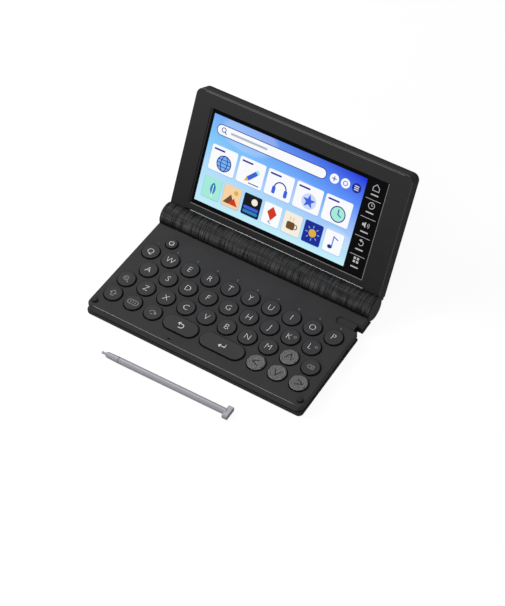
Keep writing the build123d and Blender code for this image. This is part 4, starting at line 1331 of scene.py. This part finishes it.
    def globe(self, at: Point) -> None:
        """A globe with its lines.

        Args:
            at: Its middle.
        """
        x, y = at
        radius = 5.0
        self.art.disc(at, radius, Pixel.SKY, 3)
        self.art.ring(at, radius, 0.6, Pixel.NAVY, 4)
        self.art.stroke(arc_points(at, 2.3, 0, 360, 2.15), 0.5, Pixel.NAVY, 4)
        for rise in (-2.3, 0.0, 2.3):
            half = math.sqrt(radius * radius - rise * rise)
            self.art.stroke([(x - half, y + rise), (x + half, y + rise)], 0.45, Pixel.NAVY, 5)

    def pencil(self, at: Point) -> None:
        """A slanting pencil over a line.

        Args:
            at: Its middle.
        """
        x, y = at
        self.art.fill([(x - 3.4, y - 1.4), (x - 1.4, y - 3.4), (x + 5.2, y + 3.2), (x + 3.2, y + 5.2)],
                      Pixel.BLUE, 3)
        self.art.fill([(x - 3.4, y - 1.4), (x - 4.6, y - 4.6), (x - 1.4, y - 3.4)], Pixel.GOLD, 3)
        self.art.fill([(x + 2.0, y + 4.0), (x + 4.0, y + 2.0), (x + 5.2, y + 3.2), (x + 3.2, y + 5.2)],
                      Pixel.MINT, 4)
        self.art.stroke([(x - 1.5, y - 4.9), (x + 6.0, y - 4.9)], 0.6, Pixel.NAVY, 3)

    def headphones(self, at: Point) -> None:
        """A pair of headphones.

        Args:
            at: Its middle.
        """
        x, y = at
        radius = 4.2
        self.art.ring((x, y - 0.4), radius, 0.8, Pixel.NAVY, 3, (0, 180))
        for ear in (x - radius, x + radius):
            self.art.panel((ear - 1.2, y - 4.6), (ear + 1.2, y + 0.2), 0.9, Pixel.BLUE, 4)

    def star(self, at: Point) -> None:
        """A five-pointed star on a disc.

        Args:
            at: Its middle.
        """
        x, y = at
        self.art.disc(at, 5.1, Pixel.PALE, 3)
        points = []
        for step in range(10):
            radius, angle = (4.6, 1.9)[step % 2], math.pi / 2 + step * math.pi / 5
            points.append((x + radius * math.cos(angle), y + radius * math.sin(angle)))
        self.art.fill(points, Pixel.BLUE, 4)

    def clock(self, at: Point) -> None:
        """A clock face with two hands.

        Args:
            at: Its middle.
        """
        x, y = at
        self.art.disc(at, 4.9, Pixel.MINT, 3)
        self.art.ring(at, 4.9, 0.7, Pixel.NAVY, 4)
        self.art.stroke([(x, y + 3.3), (x, y), (x + 2.4, y - 1.2)], 0.65, Pixel.NAVY, 4)

    def leaf(self, at: Point) -> None:
        """A leaf with its rib.

        Args:
            at: Its middle.
        """
        x, y = at
        self.art.fill(arc_points((x - 2.6, y), 5.4, -50, 50) + arc_points((x + 4.3, y), 5.4, 130, 230),
                      Pixel.TEAL, 3)
        self.art.stroke([(x + 0.85, y - 5.4), (x + 0.85, y + 2.4)], 0.45, Pixel.WHITE, 4)

    def hills(self, at: Point) -> None:
        """Two hills and a low sun.

        Args:
            at: Its middle.
        """
        x, y = at
        self.art.fill([(x - 5.3, y - 5.0), (x - 0.5, y + 1.5), (x + 2.8, y - 5.0)], Pixel.BROWN, 3)
        self.art.fill([(x - 1.5, y - 5.0), (x + 2.0, y - 0.3), (x + 5.3, y - 5.0)], Pixel.RED, 4)
        self.art.disc((x + 2.6, y + 3.4), 1.5, Pixel.GOLD, 3)

    def moon(self, at: Point) -> None:
        """A moon over two waves.

        Args:
            at: Its middle.
        """
        x, y = at
        self.art.disc((x + 1.6, y + 2.8), 2.2, Pixel.CREAM, 3)
        for low, ink in ((y - 5.6, Pixel.TEAL), (y - 3.0, Pixel.BLUE)):
            self.art.panel((x - 5.3, low), (x + 5.3, low + 2.0), 0.9, ink, 3)

    def kite(self, at: Point) -> None:
        """A kite with its tail.

        Args:
            at: Its middle.
        """
        x, y = at
        self.art.fill([(x, y + 5.5), (x + 3.4, y + 1.2), (x, y - 3.8), (x - 3.4, y + 1.2)], Pixel.RED, 3)
        self.art.stroke([(x, y - 3.8), (x - 1.4, y - 4.8), (x + 0.6, y - 5.8)], 0.4, Pixel.NAVY, 4)

    def cup(self, at: Point) -> None:
        """A steaming cup.

        Args:
            at: Its middle.
        """
        x, y = at
        self.art.panel((x - 3.6, y - 3.8), (x + 2.2, y + 1.2), 1.3, Pixel.BROWN, 3)
        self.art.ring((x + 2.4, y - 1.2), 1.5, 0.6, Pixel.BROWN, 3, (-90, 90))
        for steam in (x - 2.0, x + 0.2):
            self.art.stroke([(steam, y + 2.2), (steam + 0.6, y + 3.3), (steam, y + 4.4)], 0.45, Pixel.GOLD, 3)

    def sun(self, at: Point) -> None:
        """A sun with eight rays.

        Args:
            at: Its middle.
        """
        x, y = at
        self.art.disc(at, 2.6, Pixel.GOLD, 3)
        for step in range(8):
            angle = step * math.pi / 4
            ray = [(x + r * math.cos(angle), y + r * math.sin(angle)) for r in (3.4, 4.9)]
            self.art.stroke(ray, 0.6, Pixel.SKY, 3)

    def note(self, at: Point) -> None:
        """A quaver.

        Args:
            at: Its middle.
        """
        x, y = at
        self.art.disc((x - 1.6, y - 3.2), 1.6, Pixel.NAVY, 3, 0.8)
        self.art.stroke([(x - 0.3, y - 3.2), (x - 0.3, y + 3.8), (x + 3.0, y + 2.4)], 0.7, Pixel.BLUE, 3)

    def touch_strip(self) -> None:
        """Draws the black strip of touch buttons beside the picture."""
        art, x = self.art, self.strip_middle
        left, right, low, high = self.high[0], self.strip_right, self.strip_low, self.strip_high
        art.fill([(left, low), (right, low), (right, high), (left, high)], Pixel.STRIP)
        for y in self.strip_rules:
            art.stroke([(x - 5.1, y), (x + 5.1, y)], 0.28, Pixel.ICON, 1)
        icons = (self.house, self.dial, self.speaker, self.turn_back, self.grid)
        for y, draw in zip(self.strip_icons, icons):
            art.panel((x - 2.6, y - 5.0), (x + 2.6, y - 4.2), 0.3, Pixel.ICON, 1)
            draw((x, y))

    def house(self, at: Point) -> None:
        """A small house.

        Args:
            at: Its middle.
        """
        x, y = at
        self.art.stroke([(x - 2.1, y + 0.2), (x, y + 2.2), (x + 2.1, y + 0.2), (x + 2.1, y - 2.0),
                         (x - 2.1, y - 2.0), (x - 2.1, y + 0.2)], 0.4, Pixel.ICON, 1)

    def dial(self, at: Point) -> None:
        """A small clock.

        Args:
            at: Its middle.
        """
        x, y = at
        self.art.ring(at, 2.0, 0.4, Pixel.ICON, 1)
        self.art.stroke([(x, y + 1.3), (x, y), (x + 0.9, y)], 0.35, Pixel.ICON, 1)

    def speaker(self, at: Point) -> None:
        """A loudspeaker with two waves.

        Args:
            at: Its middle.
        """
        x, y = at
        self.art.fill([(x - 2.6, y - 0.8), (x - 1.5, y - 0.8), (x - 0.2, y - 1.9), (x - 0.2, y + 1.9),
                       (x - 1.5, y + 0.8), (x - 2.6, y + 0.8)], Pixel.ICON, 1)
        for radius in (1.2, 2.2):
            self.art.ring((x, y), radius, 0.35, Pixel.ICON, 1, (-45, 45))

    def turn_back(self, at: Point) -> None:
        """A small arrow that turns back.

        Args:
            at: Its middle.
        """
        x, y = at
        self.art.ring((x, y - 0.2), 1.6, 0.4, Pixel.ICON, 1, (-150, 90))
        self.art.fill([(x + 0.2, y + 2.4), (x - 1.6, y + 1.4), (x + 0.2, y + 0.4)], Pixel.ICON, 1)

    def grid(self, at: Point) -> None:
        """Four small squares.

        Args:
            at: Its middle.
        """
        half = 0.75
        for x in (at[0] - 1.1, at[0] + 1.1):
            for y in (at[1] - 1.1, at[1] + 1.1):
                self.art.panel((x - half, y - half), (x + half, y + half), 0.2, Pixel.ICON, 1)


# ---------------------------------------------------------------- hinge
@dataclass
class HingeRibs:
    """Fine rings cut round the hinge barrel and the lid's knuckles, made by one node tree."""

    radius_mm: float = BARREL_RADIUS_MM
    proud_mm: float = 0.035
    ring_mm: float = 0.11       # radius of a ring's section
    pitch_mm: float = 1.05
    barrel_half_mm: float = 64.3
    knuckle_mm: Point = (65.4, 75.2)
    cover_edge_deg: float = -18.0   # the barrel's rings run from the battery cover's edge
    deck_deg: float = 182.0         # up and over to the deck
    swell: Point = (0.996, 1.001)   # least and greatest size of a ring, which the cutter's wear varies
    swell_seed: int = 7
    ring_steps: int = 72
    section_sides: int = 6

    def build(self) -> None:
        """Makes the rings of the barrel and of both knuckles."""
        paint = BARREL_SLEEVE.build()
        span = (self.cover_edge_deg, self.deck_deg - self.cover_edge_deg)
        self.rings("barrel_rings", -self.barrel_half_mm, self.barrel_half_mm, span, paint, "base")
        inner, outer = self.knuckle_mm
        self.rings("knuckle_rings_right", inner, outer, (0.0, 360.0), paint, "lid")
        self.rings("knuckle_rings_left", -outer, -inner, (0.0, 360.0), paint, "lid")

    def rings(self, name: str, start: float, end: float, span: Point, paint: bpy.types.Material,
              body: str) -> None:
        """Makes one run of rings.

        Args:
            name: Name of the piece.
            start: Left end of the run, in millimetres.
            end: Right end.
            span: First angle and sweep of each ring, seen from +X, in degrees.
            paint: Their material.
            body: Body that they ride on.
        """
        count = round((end - start) / self.pitch_mm) + 1
        tree = self.ring_tree(paint)
        carrier = bpy.data.objects.new(name, bpy.data.meshes.new(name))
        bpy.context.scene.collection.objects.link(carrier)
        modifier = carrier.modifiers.new("rings", "NODES")
        modifier.node_group = tree
        wanted = {
            "Start": start * MM, "Pitch": (end - start) / (count - 1) * MM, "Count": count,
            "Radius": (self.radius_mm + self.proud_mm - self.ring_mm) * MM, "Section": self.ring_mm * MM,
            "First Angle": math.radians(span[0]), "Sweep": math.radians(span[1]),
            "Axis Y": HINGE_Y * MM, "Axis Z": HINGE_Z * MM,
        }
        for item in tree.interface.items_tree:
            if item.in_out == "INPUT" and item.name in wanted:
                modifier[item.identifier] = wanted[item.name]
        shown = carrier.evaluated_get(bpy.context.evaluated_depsgraph_get())
        mesh = bpy.data.meshes.new_from_object(shown)
        carrier.modifiers.clear()
        bpy.data.objects.remove(carrier)
        add_piece(name, mesh, body)

    def ring_tree(self, paint: bpy.types.Material) -> Tree:
        """Builds the node tree: one ring, put at every point of a line.

        Args:
            paint: Material of the rings.
        Returns:
            The tree, with its sizes as named inputs.
        """
        tree = bpy.data.node_groups.new("hinge rings", "GeometryNodeTree")
        tree.interface.new_socket("Geometry", in_out="OUTPUT", socket_type="NodeSocketGeometry")
        for name in ("Start", "Pitch", "Radius", "Section", "First Angle", "Sweep", "Axis Y", "Axis Z"):
            tree.interface.new_socket(name, in_out="INPUT", socket_type="NodeSocketFloat")
        tree.interface.new_socket("Count", in_out="INPUT", socket_type="NodeSocketInt")
        given = add_node(tree, "NodeGroupInput").outputs
        first = add_node(tree, "ShaderNodeCombineXYZ", {0: given["Start"]}).outputs[0]
        step = add_node(tree, "ShaderNodeCombineXYZ", {0: given["Pitch"]}).outputs[0]
        line = add_node(tree, "GeometryNodeMeshLine", {"Count": given["Count"], "Start Location": first,
                                                       "Offset": step}).outputs[0]
        arc = add_node(tree, "GeometryNodeCurveArc",
                       {"Resolution": self.ring_steps, "Radius": given["Radius"],
                        "Start Angle": given["First Angle"], "Sweep Angle": given["Sweep"]}).outputs[0]
        section = add_node(tree, "GeometryNodeCurvePrimitiveCircle",
                           {"Resolution": self.section_sides, "Radius": given["Section"]}).outputs[0]
        hoop = add_node(tree, "GeometryNodeCurveToMesh",
                        {"Curve": arc, "Profile Curve": section, "Fill Caps": True}).outputs[0]
        upright = add_node(tree, "GeometryNodeTransform",
                           {"Geometry": hoop, "Rotation": (math.pi / 2, 0, math.pi / 2)}).outputs[0]
        waver = add_node(tree, "FunctionNodeRandomValue",
                         {2: self.swell[0], 3: self.swell[1], "Seed": self.swell_seed}, data_type="FLOAT")
        swell = add_node(tree, "ShaderNodeCombineXYZ", {0: 1.0, 1: waver.outputs[1], 2: waver.outputs[1]})
        placed = add_node(tree, "GeometryNodeInstanceOnPoints",
                          {"Points": line, "Instance": upright, "Scale": swell.outputs[0]}).outputs[0]
        axis = add_node(tree, "ShaderNodeCombineXYZ", {1: given["Axis Y"], 2: given["Axis Z"]}).outputs[0]
        moved = add_node(tree, "GeometryNodeTransform", {"Geometry": placed, "Translation": axis}).outputs[0]
        real = add_node(tree, "GeometryNodeRealizeInstances", {0: moved}).outputs[0]
        painted = add_node(tree, "GeometryNodeSetMaterial", {"Geometry": real, "Material": paint}).outputs[0]
        add_node(tree, "NodeGroupOutput", {0: painted})
        return tree


# ---------------------------------------------------------------- lid trim
@dataclass
class LidLightAndShade:
    """Painted highlights and shade on the lid: on its chin, in the gap under it, on its brow and at the
    glass's edges.
    """

    chin_ends_mm: Point = (-61.1, 64.3)
    chin_mm: Point = (8.4, 8.76)        # heights between which the chin's painted highlight lies
    gap_mm: Point = (7.1, 8.25)         # and the painted shade of the gap under it
    brow_half_mm: float = 70.0
    brow_mm: Point = (85.4, 85.7)
    edge_layer_mm: float = 0.04
    edge_sunk_mm: float = 0.02          # how far the edges lie in the bezel's face
    glass_right: float = 62.25
    glass_low: float = 13.3
    glass_high: float = 77.0
    line_mm: float = 0.45
    line_layer_mm: float = 0.2
    line_proud_mm: float = 0.03         # how far the glass's lines stand out of the bezel's face
    shadow_mm: float = 1.2              # from the glass to the dark line at its left

    def build(self) -> None:
        """Makes the painted highlights and shade of chin and brow one piece and the painted lines round the
        glass another.
        """
        (left, right), (gap_low, gap_high) = self.chin_ends_mm, self.gap_mm
        brow, (brow_low, brow_high) = self.brow_half_mm, self.brow_mm
        edge = Drawing()
        edge.panel((left, self.chin_mm[0]), (right, self.chin_mm[1]), 0.15, Trim.CHIN_HIGHLIGHT)
        # painted shade in the gap under the chin
        edge.panel((left, gap_low), (right, gap_high), 0.2, Trim.GAP)
        edge.panel((-brow, brow_low), (brow, brow_high), 0.15, Trim.BROW_HIGHLIGHT)
        side, low, high = self.glass_right, self.glass_low, self.glass_high
        rim = Drawing()
        # painted highlight along the glass's lower and right edges
        rim.stroke([(-side, low), (side, low), (side, high)], self.line_mm, Trim.GLASS_EDGE_HIGHLIGHT)
        shadow = side + self.shadow_mm
        # painted shadow line at the glass's left
        rim.stroke([(-shadow, low), (-shadow, high)], self.line_mm, Trim.GAP)
        paints = {trim: trim.value.build() for trim in Trim}
        edge_mesh = drawing_mesh(edge, paints, self.edge_layer_mm, on_lid(BEZEL_FACE_MM - self.edge_sunk_mm))
        rim_place = on_lid(BEZEL_FACE_MM + self.line_proud_mm - self.line_layer_mm)
        rim_mesh = drawing_mesh(rim, paints, self.line_layer_mm, rim_place)
        add_piece("chin_painted_light_and_shade", edge_mesh, "lid")
        add_piece("glass_edge_painted_light_and_shade", rim_mesh, "lid")


# ---------------------------------------------------------------- studio
@dataclass
class Lamp:
    """A soft square lamp that looks at the object."""

    name: str
    place: Spot
    size: float
    watts: float

    def build(self, target: Vector) -> None:
        """Hangs the lamp and turns it to its target.

        Args:
            target: Point that it looks at, in metres.
        """
        light = bpy.data.lights.new(self.name, "AREA")
        light.energy, light.size = self.watts, self.size
        lamp = bpy.data.objects.new(self.name, light)
        lamp.location = self.place
        lamp.rotation_euler = (target - lamp.location).to_track_quat("-Z", "Y").to_euler()
        bpy.context.scene.collection.objects.link(lamp)


@dataclass
class Studio:
    """A pale table, a white surround, soft lamps and the camera."""

    azimuth_deg: float = 35.813
    elevation_deg: float = 50.36
    roll_deg: float = -3.798
    distance_m: float = 1.150276
    focal_px: float = 1892.704
    sensor_mm: float = 36.0
    target_mm: Spot = (8.296, 8.215, 5.0)
    clip_m: Point = (0.05, 20.0)
    ambient: float = 0.3
    table_half_m: float = 3.0
    table_tone: str = "#5e5e5e"     # takes the object's shadow
    table_glow: float = 0.92        # what lifts it to white in the picture
    lamps: tuple[Lamp, ...] = (
        Lamp("key lamp", (-0.38, -0.1, 0.42), 0.4, 2.6),
        Lamp("front lamp", (0.2, -0.85, 0.45), 0.5, 3.4),
    )

    def build(self) -> None:
        """Sets up the whole studio."""
        scene = bpy.context.scene
        scene.view_settings.view_transform = "Standard"
        self.camera()
        self.surround()
        self.floor()
        target = Vector(self.target_mm) * MM
        for lamp in self.lamps:
            lamp.build(target)

    def camera(self) -> None:
        """Hangs the camera at its azimuth, elevation and roll."""
        azimuth, elevation = math.radians(self.azimuth_deg), math.radians(self.elevation_deg)
        back = Vector((math.sin(azimuth) * math.cos(elevation), -math.cos(azimuth) * math.cos(elevation),
                       math.sin(elevation)))
        level = Vector(UPWARDS).cross(back).normalized()
        upright = back.cross(level)
        roll = math.radians(self.roll_deg)
        right = level * math.cos(roll) + upright * math.sin(roll)
        up = upright * math.cos(roll) - level * math.sin(roll)
        turn = Matrix((right, up, back)).transposed().to_4x4()
        data = bpy.data.cameras.new("camera")
        data.sensor_width = self.sensor_mm
        data.sensor_fit = "AUTO"
        data.lens = self.focal_px * data.sensor_width / max(RENDER_W, RENDER_H)
        data.clip_start, data.clip_end = self.clip_m
        eye = bpy.data.objects.new("camera", data)
        eye.matrix_world = Matrix.Translation(Vector(self.target_mm) * MM + back * self.distance_m) @ turn
        bpy.context.scene.collection.objects.link(eye)
        bpy.context.scene.camera = eye

    def seen_directly(self, tree: Tree) -> Socket:
        """Value 1 for what the camera, a reflection or a glass shows, and 0 for what lights the object.

        Args:
            tree: Node tree that takes the nodes.
        Returns:
            The value.
        """
        path = add_node(tree, "ShaderNodeLightPath").outputs
        either = add_node(tree, "ShaderNodeMath", {0: path["Is Camera Ray"], 1: path["Is Glossy Ray"]},
                          operation="MAXIMUM").outputs[0]
        return add_node(tree, "ShaderNodeMath", {0: either, 1: path["Is Transmission Ray"]},
                        operation="MAXIMUM").outputs[0]

    def surround(self) -> None:
        """Makes the world white to the eye and a plain soft light to the object."""
        world = bpy.data.worlds.new("surround")
        world.use_nodes = True
        tree = world.node_tree
        tree.nodes.clear()
        strength = add_node(tree, "ShaderNodeMapRange", {"Value": self.seen_directly(tree),
                                                         "To Min": self.ambient}).outputs[0]
        light = add_node(tree, "ShaderNodeBackground", {"Color": (1, 1, 1, 1), "Strength": strength})
        add_node(tree, "ShaderNodeOutputWorld", {"Surface": light.outputs[0]})
        bpy.context.scene.world = world

    def floor(self) -> None:
        """Lays the pale table, which shows white and keeps the object's shadow."""
        material, tree = new_material("pale table top")
        matt = add_node(tree, "ShaderNodeBsdfDiffuse", {"Color": linear(self.table_tone)}).outputs[0]
        lift = add_node(tree, "ShaderNodeMapRange", {"Value": self.seen_directly(tree),
                                                     "To Max": self.table_glow}).outputs[0]
        glow = add_node(tree, "ShaderNodeEmission", {"Color": (1, 1, 1, 1), "Strength": lift}).outputs[0]
        both = add_node(tree, "ShaderNodeAddShader", {0: matt, 1: glow}).outputs[0]
        add_node(tree, "ShaderNodeOutputMaterial", {"Surface": both})
        half = self.table_half_m
        corners = [(-half, -half, 0), (half, -half, 0), (half, half, 0), (-half, half, 0)]
        mesh = bpy.data.meshes.new("table_top")
        mesh.from_pydata(corners, [], [(0, 1, 2, 3)])
        mesh.materials.append(material)
        top = bpy.data.objects.new("table_top", mesh)
        bpy.context.scene.collection.objects.link(top)


def main() -> None:
    """Builds the whole scene, part by part."""
    logging.basicConfig(level=logging.INFO, format="%(name)s: %(message)s")
    dress_nodes()
    for part in (KeyLegends(), DeckMarks(), KeyWellShade(), ScreenPicture(), HingeRibs(), LidLightAndShade(), Studio()):
        part.build()
        log.info("%s is done", type(part).__name__)


if __name__ == "__main__":
    main()
